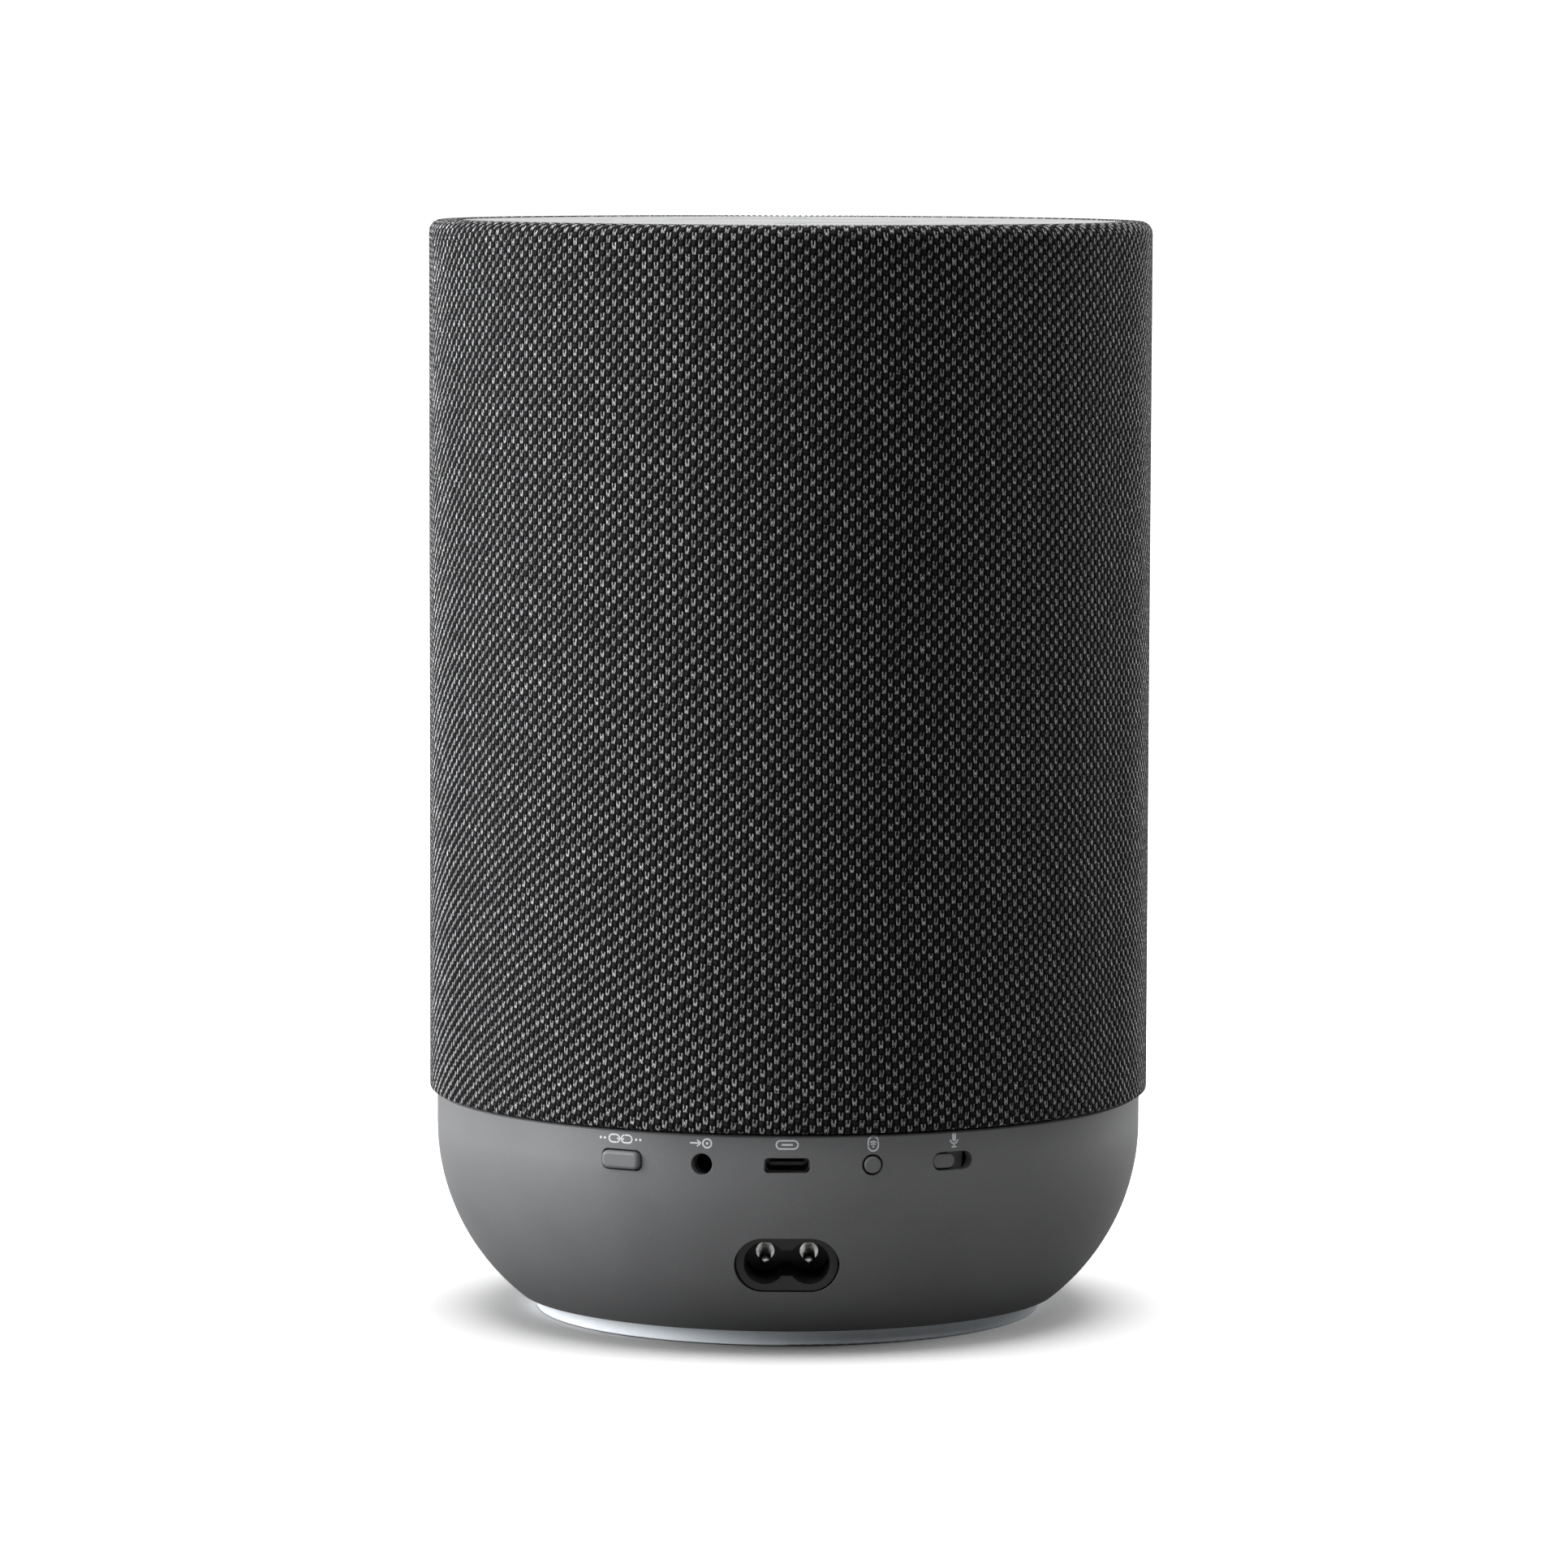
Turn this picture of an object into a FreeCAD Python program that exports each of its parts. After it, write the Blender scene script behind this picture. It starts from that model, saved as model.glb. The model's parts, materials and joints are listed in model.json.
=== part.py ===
"""Smart speaker: a fabric-covered cylinder on a bowl-shaped base, as a parametric assembly.

Millimetres, +Z up. The origin is the middle of the foot, on the surface the speaker stands on.
The row of ports and buttons faces -Y. Every piece is a separate solid with its own label.
"""

import FreeCAD
import Part
import Sketcher

import math
import os

from FreeCAD import Placement, Rotation, Vector

# --- driving dimensions -----------------------------------------------------------------------

SIZES = {
    # outside
    "fabric_radius": 72.5,
    "total_height": 220.0,
    "fabric_thickness": 0.8,
    "rim_rounding": 2.4,
    "seam_gap": 0.5,
    "base_radius": 71.1,
    "base_top": 44.6,
    "base_bottom": 3.6,
    "base_wall": 2.5,
    "base_bevel": 0.35,
    "curve_top": 38.0,
    "curve_radius": 44.0,
    "bottom_opening": 51.3,
    "bottom_lip": 3.2,
    # foot, light ring and bottom plate
    "foot_inner": 30.0,
    "foot_outer": 45.5,
    "foot_thickness": 2.0,
    "light_inner": 46.6,
    "light_outer": 50.9,
    "light_bottom": 0.15,
    "light_top": 3.8,
    "light_rounding": 0.3,
    "plate_step": 46.2,
    "plate_top": 6.2,
    "led_board_inner": 45.2,
    "led_board_outer": 50.4,
    "led_board_thickness": 1.0,
    "led_circle": 48.6,
    "led_width": 2.0,
    "led_height": 0.8,
    "window_width": 3.2,
    # fasteners
    "screw_circle": 41.0,
    "boss_radius": 3.5,
    "boss_top": 42.4,
    "rib_thickness": 2.0,
    "screw_radius": 1.25,
    "screw_head_radius": 2.5,
    "screw_head_height": 1.6,
    "screw_length": 9.0,
    "pilot_radius": 1.35,
    # ports and buttons
    "port_height": 38.8,
    "port_step": 13.45,
    "cut_start": 80.0,
    "port_cut_end": 60.0,
    "inlet_cut_end": 52.0,
    "connect_width": 8.1,
    "connect_height": 3.5,
    "connect_stand": 0.9,
    "wireless_radius": 1.65,
    "wireless_stand": 0.5,
    "connect_clearance": 0.3,
    "wireless_clearance": 0.4,
    "flange_back": 67.3,
    "flange_front": 68.0,
    "stem_back": 66.4,
    "switch_front": 65.6,
    "slot_width": 8.6,
    "slot_height": 3.65,
    "knob_width": 4.7,
    "knob_height": 2.85,
    "knob_shift": 1.6,
    "knob_face": 70.5,
    "slider_front": 67.7,
    "slider_back": 66.9,
    "aux_hole_radius": 2.1,
    "aux_bore_radius": 1.8,
    "aux_front": 68.2,
    "aux_depth": 14.0,
    "aux_width": 6.2,
    "usb_cut_width": 8.8,
    "usb_cut_height": 3.0,
    "usb_width": 8.94,
    "usb_height": 3.26,
    "usb_wall": 0.3,
    "usb_front": 68.1,
    "usb_depth": 7.0,
    "tongue_width": 6.6,
    "tongue_thickness": 0.7,
    "inlet_height": 18.5,
    "inlet_cut_width": 20.5,
    "inlet_cut_height": 11.4,
    "inlet_width": 19.9,
    "inlet_body_height": 10.8,
    "inlet_front": 62.9,
    "inlet_back": 43.0,
    "inlet_floor": 47.0,
    "inlet_lobe": 4.1,
    "inlet_pitch": 8.6,
    "inlet_waist": 5.0,
    "pin_radius": 1.18,
    "pin_tip": 58.7,
    "collar_radius": 1.8,
    "collar_height": 0.6,
    # electronics
    "board_thickness": 1.6,
    "power_board_bottom": 7.7,
    "power_board_width": 49.0,
    "power_board_front": 46.0,
    "power_board_length": 86.0,
    "main_board_bottom": 30.0,
    "main_board_radius": 36.8,
    "io_board_inner": 50.0,
    "io_board_outer": 66.2,
    "io_board_top": 36.2,
    "io_board_angle": 68.0,
    # middle frame and cabinet
    "frame_radius": 68.3,
    "frame_top": 45.6,
    "frame_hole": 34.5,
    "gasket_inner": 56.0,
    "gasket_outer": 60.0,
    "cabinet_bottom": 48.0,
    "cabinet_radius": 65.5,
    "cabinet_wall": 3.0,
    "cabinet_top": 176.0,
    "baffle_top": 180.0,
    "baffle_hole": 46.5,
    # passive radiators
    "radiator_height": 92.0,
    "radiator_boss": 33.0,
    "radiator_opening": 24.0,
    "radiator_flat": 58.0,
    "radiator_boss_depth": 5.0,
    "radiator_plate": 21.0,
    # woofer
    "flange_radius": 54.0,
    "woofer_circle": 50.6,
    "magnet_radius": 28.0,
    "magnet_bore": 16.0,
    "magnet_bottom": 134.0,
    "magnet_top": 148.0,
    "top_plate_top": 150.8,
    "pole_radius": 12.2,
    "gap_radius": 13.6,
    "back_plate_bottom": 130.0,
    "former_inner": 12.7,
    "former_outer": 12.95,
    "coil_outer": 13.2,
    "cone_outer": 41.0,
    "spider_height": 160.0,
    # top
    "deflector_top": 207.0,
    "deflector_radius": 50.0,
    "post_circle": 60.5,
    "post_radius": 3.2,
    "tweeter_height": 193.0,
    "tweeter_radius": 9.3,
    "tweeter_flange": 10.6,
    "carrier_radius": 66.2,
    "carrier_floor": 210.0,
    "carrier_top": 216.6,
    "touch_board_bottom": 214.6,
    "touch_board_radius": 60.0,
    "panel_radius": 66.2,
    "panel_bottom": 217.0,
    "panel_top": 219.9,
    "panel_bevel": 0.2,
    "mic_circle": 52.0,
    "mic_hole": 0.6,
    # grille
    "grille_inner": 69.3,
    "grille_outer": 71.5,
    "grille_bottom": 46.1,
    "grille_flange": 66.9,
    "slot_rows": 3.0,
    "slot_columns": 20.0,
    "grille_slot_width": 9.0,
    "grille_slot_height": 46.0,
}


class Size:
    """A length or an angle, with the sheet formula that gives it."""

    def __init__(self, value, formula):
        self.value = value
        self.formula = formula

    def combined(self, other, sign, result):
        text = other.formula if isinstance(other, Size) else repr(float(other))
        return Size(result, "(%s %s %s)" % (self.formula, sign, text))

    def __add__(self, other):
        return self.combined(other, "+", self.value + plain(other))

    def __sub__(self, other):
        return self.combined(other, "-", self.value - plain(other))

    def __mul__(self, other):
        return self.combined(other, "*", self.value * plain(other))

    def __truediv__(self, other):
        return self.combined(other, "/", self.value / plain(other))

    def __neg__(self):
        return Size(-self.value, "(0 - %s)" % self.formula)

    def __radd__(self, other):
        return self + other

    def __rsub__(self, other):
        return -self + other


def plain(number):
    """The bare value of a Size or of an ordinary number."""
    return number.value if isinstance(number, Size) else float(number)


def fill_sheet(document):
    """Write every driving dimension into the sheet and give its cell an alias."""
    sheet = document.addObject("Spreadsheet::Sheet", "Sizes")
    for row, (alias, value) in enumerate(SIZES.items(), start=1):
        sheet.set("A%d" % row, alias.replace("_", " "))
        sheet.set("B%d" % row, str(value))
        sheet.setAlias("B%d" % row, alias)
    return sheet


document = FreeCAD.newDocument("smart_speaker")
fill_sheet(document)
document.recompute()
size = {alias: Size(value, "Sizes." + alias) for alias, value in SIZES.items()}
pieces = []


# --- helpers ----------------------------------------------------------------------------------


def bind(target, path, number):
    """Set one property from a Size, through the sheet, or from a bare number."""
    if isinstance(number, Size):
        target.setExpression(path, number.formula)
    else:
        target.setExpression(path, repr(float(number)))


def finished(item, name):
    """Label a finished sub-part and put it on the list of pieces to write."""
    item.Label = name
    pieces.append(item)
    return item


def place(item, x=0.0, y=0.0, z=0.0, turn=0.0, axis=Vector(0, 0, 1)):
    """Stand an item at a place, turned about one axis, all bound to the sheet."""
    item.Placement = Placement(Vector(plain(x), plain(y), plain(z)), Rotation(axis, plain(turn)))
    for letter, number in (("x", x), ("y", y), ("z", z)):
        if isinstance(number, Size):
            bind(item, "Placement.Base." + letter, number)
    if isinstance(turn, Size):
        bind(item, "Placement.Rotation.Angle", turn)
    return item


def new_body(name):
    return document.addObject("PartDesign::Body", name + "_body")


def origin_plane(body, role):
    return next(item for item in body.Origin.OriginFeatures if item.Role == role)


def new_sketch(body, name, role, offset=0.0, turn=0.0):
    """A sketch on one of the body's planes, moved along its normal and turned about +Z."""
    sketch = body.newObject("Sketcher::SketchObject", name)
    sketch.AttachmentSupport = [(origin_plane(body, role), "")]
    sketch.MapMode = "FlatFace"
    turning = Rotation(Vector(0, 1, 0), plain(turn))
    shift = turning.multVec(Vector(0, 0, plain(offset)))
    sketch.AttachmentOffset = Placement(shift, turning)
    if isinstance(offset, Size) and plain(turn) == 0.0:
        bind(sketch, "AttachmentOffset.Base.z", offset)
    return sketch


def hold(sketch, kind, edge, end, number):
    """Fix one coordinate of an edge's end, bound to the sheet."""
    if abs(plain(number)) < 1e-9:
        axis = -2 if kind == "DistanceX" else -1
        sketch.addConstraint(Sketcher.Constraint("PointOnObject", edge, end, axis))
    elif plain(number) > 0:
        index = sketch.addConstraint(
            Sketcher.Constraint(kind, -1, 1, edge, end, plain(number))
        )
        bind(sketch, "Constraints[%d]" % index, number)
    else:
        index = sketch.addConstraint(
            Sketcher.Constraint(kind, edge, end, -1, 1, -plain(number))
        )
        bind(sketch, "Constraints[%d]" % index, -number)


def arc_between(start, end, radius):
    """A short arc from start to end; a positive radius bulges to the right of the run."""
    middle = (start + end) * 0.5
    run = end - start
    side = Vector(-run.y, run.x, 0).normalize()
    rise = math.sqrt(max(radius * radius - run.Length ** 2 / 4, 0.0))
    centre = middle + side * (rise if radius > 0 else -rise)
    circle = Part.Circle(centre, Vector(0, 0, 1), abs(radius))
    first, last = (start, end) if radius > 0 else (end, start)
    angles = [math.atan2(p.y - centre.y, p.x - centre.x) for p in (first, last)]
    return Part.ArcOfCircle(circle, angles[0], angles[1])


def outline(sketch, corners, arcs=None):
    """A closed outline. corners are (u, v); arcs gives the radius of the edge after a corner."""
    arcs = arcs or {}
    points = [Vector(plain(u), plain(v), 0) for u, v in corners]
    ends = []
    for index, start in enumerate(points):
        end = points[(index + 1) % len(points)]
        radius = arcs.get(index)
        if radius is None:
            edge = sketch.addGeometry(Part.LineSegment(start, end), False)
            ends.append((edge, 1, 2))
        else:
            edge = sketch.addGeometry(arc_between(start, end, plain(radius)), False)
            ends.append((edge, 1, 2) if plain(radius) > 0 else (edge, 2, 1))
    for index, (edge, start, end) in enumerate(ends):
        following, next_start, _ = ends[(index + 1) % len(ends)]
        sketch.addConstraint(
            Sketcher.Constraint("Coincident", edge, end, following, next_start)
        )
        hold(sketch, "DistanceX", edge, start, corners[index][0])
        hold(sketch, "DistanceY", edge, start, corners[index][1])
        radius = arcs.get(index)
        if radius is not None:
            constraint = sketch.addConstraint(
                Sketcher.Constraint("Radius", edge, abs(plain(radius)))
            )
            bind(sketch, "Constraints[%d]" % constraint, radius if plain(radius) > 0 else -radius)


def circle(sketch, u, v, radius):
    """A circle held by its middle and its radius."""
    edge = sketch.addGeometry(
        Part.Circle(Vector(plain(u), plain(v), 0), Vector(0, 0, 1), plain(radius)), False
    )
    hold(sketch, "DistanceX", edge, 3, u)
    hold(sketch, "DistanceY", edge, 3, v)
    constraint = sketch.addConstraint(Sketcher.Constraint("Radius", edge, plain(radius)))
    bind(sketch, "Constraints[%d]" % constraint, radius)


def rounded_rectangle(sketch, width, height, radius, u=0.0, v=0.0):
    """A rectangle with round corners about the middle (u, v)."""
    right = width / 2 + u
    left = -(width / 2) + u
    high = height / 2 + v
    low = -(height / 2) + v
    corners = [
        (right - radius, low),
        (right, low + radius),
        (right, high - radius),
        (right - radius, high),
        (left + radius, high),
        (left, high - radius),
        (left, low + radius),
        (left + radius, low),
    ]
    outline(sketch, corners, {0: radius, 2: radius, 4: radius, 6: radius})


def pill(sketch, width, height, u=0.0, v=0.0):
    """A straight slot with round ends about the middle (u, v)."""
    reach = (width - height) / 2
    half = plain(height) / 2
    ends = []
    for side in (1, -1):
        middle = Vector(plain(u) + side * plain(reach), plain(v), 0)
        turn = -math.pi / 2 * side
        arc = Part.ArcOfCircle(Part.Circle(middle, Vector(0, 0, 1), half), turn, turn + math.pi)
        ends.append((sketch.addGeometry(arc, False), middle))
    for (arc, middle), (other, far) in (ends, ends[::-1]):
        rise = Vector(0, half if arc == ends[0][0] else -half, 0)
        line = sketch.addGeometry(Part.LineSegment(middle + rise, far + rise), False)
        sketch.addConstraint(Sketcher.Constraint("Coincident", arc, 2, line, 1))
        sketch.addConstraint(Sketcher.Constraint("Coincident", line, 2, other, 1))
    for (arc, _), centre in zip(ends, (reach + u, u - reach)):
        hold(sketch, "DistanceX", arc, 3, centre)
        hold(sketch, "DistanceY", arc, 3, v)
        constraint = sketch.addConstraint(Sketcher.Constraint("Radius", arc, half))
        bind(sketch, "Constraints[%d]" % constraint, height / 2)
        for end in (1, 2):
            sketch.addConstraint(Sketcher.Constraint("Vertical", arc, 3, arc, end))


def add_revolution(body, name, corners, arcs=None):
    """Turn an outline (radius, height) once round the vertical axis."""
    sketch = new_sketch(body, name + "_outline", "XZ_Plane")
    outline(sketch, corners, arcs)
    feature = body.newObject("PartDesign::Revolution", name)
    feature.Profile = sketch
    feature.ReferenceAxis = (sketch, ["V_Axis"])
    feature.Angle = 360
    body.Tip = feature
    return feature


def turned(name, corners, arcs=None):
    """A finished sub-part that is one turned outline."""
    body = new_body(name)
    add_revolution(body, name + "_turn", corners, arcs)
    return finished(body, name)


def tube(name, inner, outer, bottom, top):
    """A finished ring of rectangular section."""
    return turned(name, [(inner, bottom), (outer, bottom), (outer, top), (inner, top)])


def disc(name, radius, bottom, top):
    """A finished round plate."""
    return turned(name, [(0, bottom), (radius, bottom), (radius, top), (0, top)])


def add_pad(body, sketch, length):
    feature = body.newObject("PartDesign::Pad", sketch.Name + "_pad")
    feature.Profile = sketch
    bind(feature, "Length", length)
    body.Tip = feature
    return feature


def add_pocket(body, sketch, length):
    """Cut a sketch into the body, against the sketch's normal, and make sure that it cut."""
    document.recompute()
    before = body.Shape.Volume
    feature = body.newObject("PartDesign::Pocket", sketch.Name + "_cut")
    feature.Profile = sketch
    bind(feature, "Length", length)
    body.Tip = feature
    document.recompute()
    if body.Shape.Volume > before - 1e-3:
        raise RuntimeError("%s cuts nothing" % feature.Name)
    return feature


def add_pattern(body, feature, count):
    """Repeat a feature evenly round the vertical axis."""
    pattern = body.newObject("PartDesign::PolarPattern", feature.Name + "_round")
    pattern.Originals = [feature]
    pattern.Axis = (next(i for i in body.Origin.OriginFeatures if i.Role == "Z_Axis"), [""])
    pattern.Angle = 360
    pattern.Occurrences = int(count)
    body.Tip = pattern
    return pattern


def box(name, width, depth, height, x=0.0, y=0.0, z=0.0, turn=0.0, outward=None):
    """A box standing on z. It is centred on (x, y), or its far face is `outward` from the axis."""
    item = document.addObject("Part::Box", name + "_block")
    bind(item, "Length", width)
    bind(item, "Width", depth)
    bind(item, "Height", height)
    if outward is None:
        place(item, x - width / 2, y - depth / 2, z)
    else:
        angle = math.radians(plain(turn))
        along = Vector(math.cos(angle), math.sin(angle), 0)
        out = Vector(math.sin(angle), -math.cos(angle), 0)
        corner = along * (plain(x) - plain(width) / 2) + out * plain(outward)
        place(item, corner.x, corner.y, z, turn)
    return item


def rod(name, radius, length, x=0.0, y=0.0, z=0.0, axis="z"):
    """A cylinder from (x, y, z) along +X, +Y or +Z."""
    item = document.addObject("Part::Cylinder", name + "_rod")
    bind(item, "Radius", radius)
    bind(item, "Height", length)
    if axis == "z":
        place(item, x, y, z)
    elif axis == "x":
        place(item, x, y, z, 90.0, Vector(0, 1, 0))
    else:
        place(item, x, y, z, -90.0, Vector(1, 0, 0))
    return item


def ball(name, radius, x, y, z):
    item = document.addObject("Part::Sphere", name + "_ball")
    bind(item, "Radius", radius)
    return place(item, x, y, z)


def cut(name, base, *tools):
    """The base with every tool taken out of it."""
    for number, tool in enumerate(tools, start=1):
        result = document.addObject("Part::Cut", "%s_cut_%d" % (name, number))
        result.Base = base
        result.Tool = tool
        base = result
    return base


def fuse(name, *items):
    """One solid made of touching or overlapping items."""
    result = document.addObject("Part::MultiFuse", name + "_fused")
    result.Shapes = list(items)
    return result


def group(name, items):
    """Separate solids kept together in one piece."""
    result = document.addObject("Part::Compound", name + "_group")
    result.Links = list(items)
    return finished(result, name)


def ring_places(radius, count, start=0.0):
    """Evenly spaced places (x, y) round the axis, at a radius bound to the sheet."""
    for number in range(count):
        angle = math.radians(start + 360.0 * number / count)
        yield radius * math.cos(angle), radius * math.sin(angle)


def outer_curve(height, wall=0.0):
    """The radius of the base's bowl at a height, measured inside a wall of some thickness."""
    centre = plain(size["base_radius"]) - plain(size["curve_radius"])
    radius = plain(size["curve_radius"]) - plain(wall)
    drop = plain(size["curve_top"]) - plain(height)
    return centre + math.sqrt(radius ** 2 - drop ** 2)


def dome_radius(base, rise):
    """The radius of a ball whose cap has this base radius and this rise."""
    return (base * base + rise * rise) / (rise * 2)


def curve_formula(height, wall):
    """The same radius as a Size, so that the outline follows the sheet."""
    curve = size["curve_radius"]
    centre = size["base_radius"] - curve
    radius = curve - wall
    drop = size["curve_top"] - height
    formula = "(%s + sqrt(%s * %s - %s * %s))" % (
        centre.formula, radius.formula, radius.formula, drop.formula, drop.formula)
    return Size(outer_curve(height, wall), formula)


# --- foot, light ring and bottom plate --------------------------------------------------------


def make_foot():
    """Soft ring that carries the speaker, with rounded lower edges."""
    inner, outer, top = size["foot_inner"], size["foot_outer"], size["foot_thickness"]
    rounding = top / 4
    turned(
        "foot_pad",
        [(inner + rounding, 0), (outer - rounding, 0), (outer, rounding), (outer, top),
         (inner, top), (inner, rounding)],
        {1: rounding, 5: rounding},
    )


def make_light_ring():
    """Frosted ring that glows under the base."""
    inner, outer = size["light_inner"], size["light_outer"]
    low, high, rounding = size["light_bottom"], size["light_top"], size["light_rounding"]
    turned(
        "light_ring",
        [(inner, low), (outer - rounding, low), (outer, low + rounding), (outer, high),
         (inner, high)],
        {1: rounding},
    )


def make_base_plate():
    """Bottom plate with a step for the light ring, windows for the lights and screw holes."""
    body = new_body("base_plate")
    outer, step, high = size["light_outer"], size["plate_step"], size["plate_top"]
    low, ledge, inner = size["foot_thickness"], size["light_top"], size["foot_inner"]
    recess = low + 1.0
    add_revolution(
        body,
        "base_plate_turn",
        [(0, recess), (inner - 1.5, recess), (inner - 1.5, low), (step, low), (step, ledge),
         (outer, ledge), (outer, high), (0, high)],
    )
    window = new_sketch(body, "base_plate_window", "XY_Plane", high)
    rounded_rectangle(window, size["window_width"], size["window_width"],
                      size["window_width"] / 8, size["led_circle"], 0.0)
    add_pattern(body, add_pocket(body, window, high - ledge), 12)
    middle = size["screw_circle"] * math.sqrt(0.5)
    hole = new_sketch(body, "base_plate_hole", "XY_Plane", high)
    circle(hole, middle, middle, size["pilot_radius"] + 0.15)
    add_pattern(body, add_pocket(body, hole, high - low), 4)
    seat = new_sketch(body, "base_plate_seat", "XY_Plane", low + size["screw_head_height"] + 0.3)
    circle(seat, middle, middle, size["screw_head_radius"] + 0.3)
    add_pattern(body, add_pocket(body, seat, size["screw_head_height"] + 0.3), 4)
    finished(body, "base_plate")


def screw(name, x, y, head_bottom, direction):
    """A pan-head screw; direction is +1 with its point up, -1 with its point down."""
    head_height, length = size["screw_head_height"], size["screw_length"]
    head = rod(name + "_head", size["screw_head_radius"], head_height, x, y, head_bottom)
    if direction > 0:
        shank_bottom = head_bottom + head_height
    else:
        shank_bottom = head_bottom - length
    shank = rod(name + "_shank", size["screw_radius"], length, x, y, shank_bottom)
    return fuse(name, head, shank)


def make_screws():
    """Four rings of identical screws: bottom plate, middle frame, woofer and top carrier."""
    circle_radius, head = size["screw_circle"], size["screw_head_height"]
    rings = [
        ("plate_screw", circle_radius, size["foot_thickness"] + 0.2, 1),
        ("frame_screw", circle_radius, size["frame_top"] - head - 0.2, -1),
        ("woofer_screw", size["woofer_circle"], size["baffle_top"] + 1.6, -1),
        ("carrier_screw", size["post_circle"], size["carrier_floor"], -1),
    ]
    screws = []
    for name, radius, head_bottom, direction in rings:
        for number, (x, y) in enumerate(ring_places(radius, 4, 45.0), start=1):
            screws.append(screw("%s_%d" % (name, number), x, y, head_bottom, direction))
    group("case_screws", screws)


def make_lights():
    """Ring board with twelve lights that hang into the windows of the bottom plate."""
    low = size["plate_top"]
    tube("led_board", size["led_board_inner"], size["led_board_outer"], low,
         low + size["led_board_thickness"])
    lights = []
    for number in range(12):
        angle = math.radians(30.0 * number)
        width = size["led_width"]
        light = box("led_%d" % (number + 1), width, width, size["led_height"],
                    size["led_circle"] * math.cos(angle), size["led_circle"] * math.sin(angle),
                    low - size["led_height"])
        lights.append(light)
    group("status_leds", lights)


# --- base shell -------------------------------------------------------------------------------


def port_sketch(body, name, steps):
    """A sketch outside the wall, facing outwards at so many port steps from -Y."""
    return new_sketch(body, name, "XZ_Plane", size["cut_start"], SIZES["port_step"] * steps)


def make_base_shell():
    """Bowl-shaped shell with bosses, ribs and the openings for ports, buttons and inlet."""
    body = new_body("base_shell")
    outer, wall, high = size["base_radius"], size["base_wall"], size["base_top"]
    low, curve, bevel = size["base_bottom"], size["curve_radius"], size["base_bevel"]
    lip = low + size["bottom_lip"]
    add_revolution(
        body,
        "base_shell_turn",
        [
            (size["bottom_opening"], low),
            (curve_formula(low, 0.0), low),
            (outer, size["curve_top"]),
            (outer, high - bevel),
            (outer - bevel, high),
            (outer - wall, high),
            (outer - wall, size["curve_top"]),
            (curve_formula(lip, wall), lip),
            (size["bottom_opening"], lip),
        ],
        {1: curve, 6: -(curve - wall)},
    )
    add_bosses(body)
    height = size["port_height"]
    depth = size["cut_start"] - size["port_cut_end"]
    clearance = size["connect_clearance"] * 2
    connect = port_sketch(body, "connect_opening", -2)
    rounded_rectangle(connect, size["connect_width"] + clearance,
                      size["connect_height"] + clearance, size["connect_height"] * 0.37, 0.0,
                      height)
    add_pocket(body, connect, depth)
    aux = port_sketch(body, "aux_opening", -1)
    circle(aux, 0.0, height, size["aux_hole_radius"])
    add_pocket(body, aux, depth)
    usb = port_sketch(body, "usb_opening", 0)
    rounded_rectangle(usb, size["usb_cut_width"], size["usb_cut_height"],
                      size["usb_cut_height"] / 4, 0.0, height)
    add_pocket(body, usb, depth)
    wireless = port_sketch(body, "wireless_opening", 1)
    circle(wireless, 0.0, height, size["wireless_radius"] + size["wireless_clearance"])
    add_pocket(body, wireless, depth)
    slide = port_sketch(body, "mic_opening", 2)
    pill(slide, size["slot_width"], size["slot_height"], 0.0, height)
    add_pocket(body, slide, depth)
    inlet = port_sketch(body, "inlet_opening", 0)
    pill(inlet, size["inlet_cut_width"], size["inlet_cut_height"], 0.0, size["inlet_height"])
    add_pocket(body, inlet, size["cut_start"] - size["inlet_cut_end"])
    finished(body, "base_shell")


def add_bosses(body):
    """Four screw bosses, each tied to the wall by an upright rib."""
    middle = size["screw_circle"] * math.sqrt(0.5)
    bottom, top = size["plate_top"], size["boss_top"]
    boss = new_sketch(body, "boss", "XY_Plane", bottom)
    circle(boss, middle, middle, size["boss_radius"])
    circle(boss, middle, middle, size["pilot_radius"])
    add_pattern(body, add_pad(body, boss, top - bottom), 4)
    rib_bottom = bottom + 5.8
    rib = new_sketch(body, "rib", "XY_Plane", rib_bottom)
    half = size["rib_thickness"] / 2 * math.sqrt(0.5)
    near = (size["screw_circle"] + size["pilot_radius"] + 1.0) * math.sqrt(0.5)
    far = Size(outer_curve(rib_bottom, 1.0), curve_formula(rib_bottom, 1.0).formula)
    far = far * math.sqrt(0.5)
    outline(rib, [(near + half, near - half), (far + half, far - half),
                  (far - half, far + half), (near - half, near + half)])
    add_pattern(body, add_pad(body, rib, top - rib_bottom - 2.0), 4)


# --- ports, buttons and inlet -----------------------------------------------------------------


def rear_body(name, steps):
    """A body that is drawn facing -Y and then turned to its place in the row of ports."""
    body = new_body(name)
    place(body, turn=size["port_step"] * steps)
    return body


def add_block(body, name, draw, back, front):
    """Pad a drawing outwards between two distances from the axis."""
    sketch = new_sketch(body, name, "XZ_Plane", back)
    draw(sketch)
    return add_pad(body, sketch, front - back)


def soften(body, name, y_front, radius):
    """Round the edges of the front face of a button."""
    document.recompute()
    front = -plain(y_front)
    base = body.Tip
    edges = [
        "Edge%d" % (number + 1)
        for number, edge in enumerate(base.Shape.Edges)
        if all(abs(vertex.Y - front) < 1e-4 for vertex in edge.Vertexes)
    ]
    feature = body.newObject("PartDesign::Fillet", name)
    feature.Base = (base, edges)
    bind(feature, "Radius", radius)
    body.Tip = feature


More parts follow.
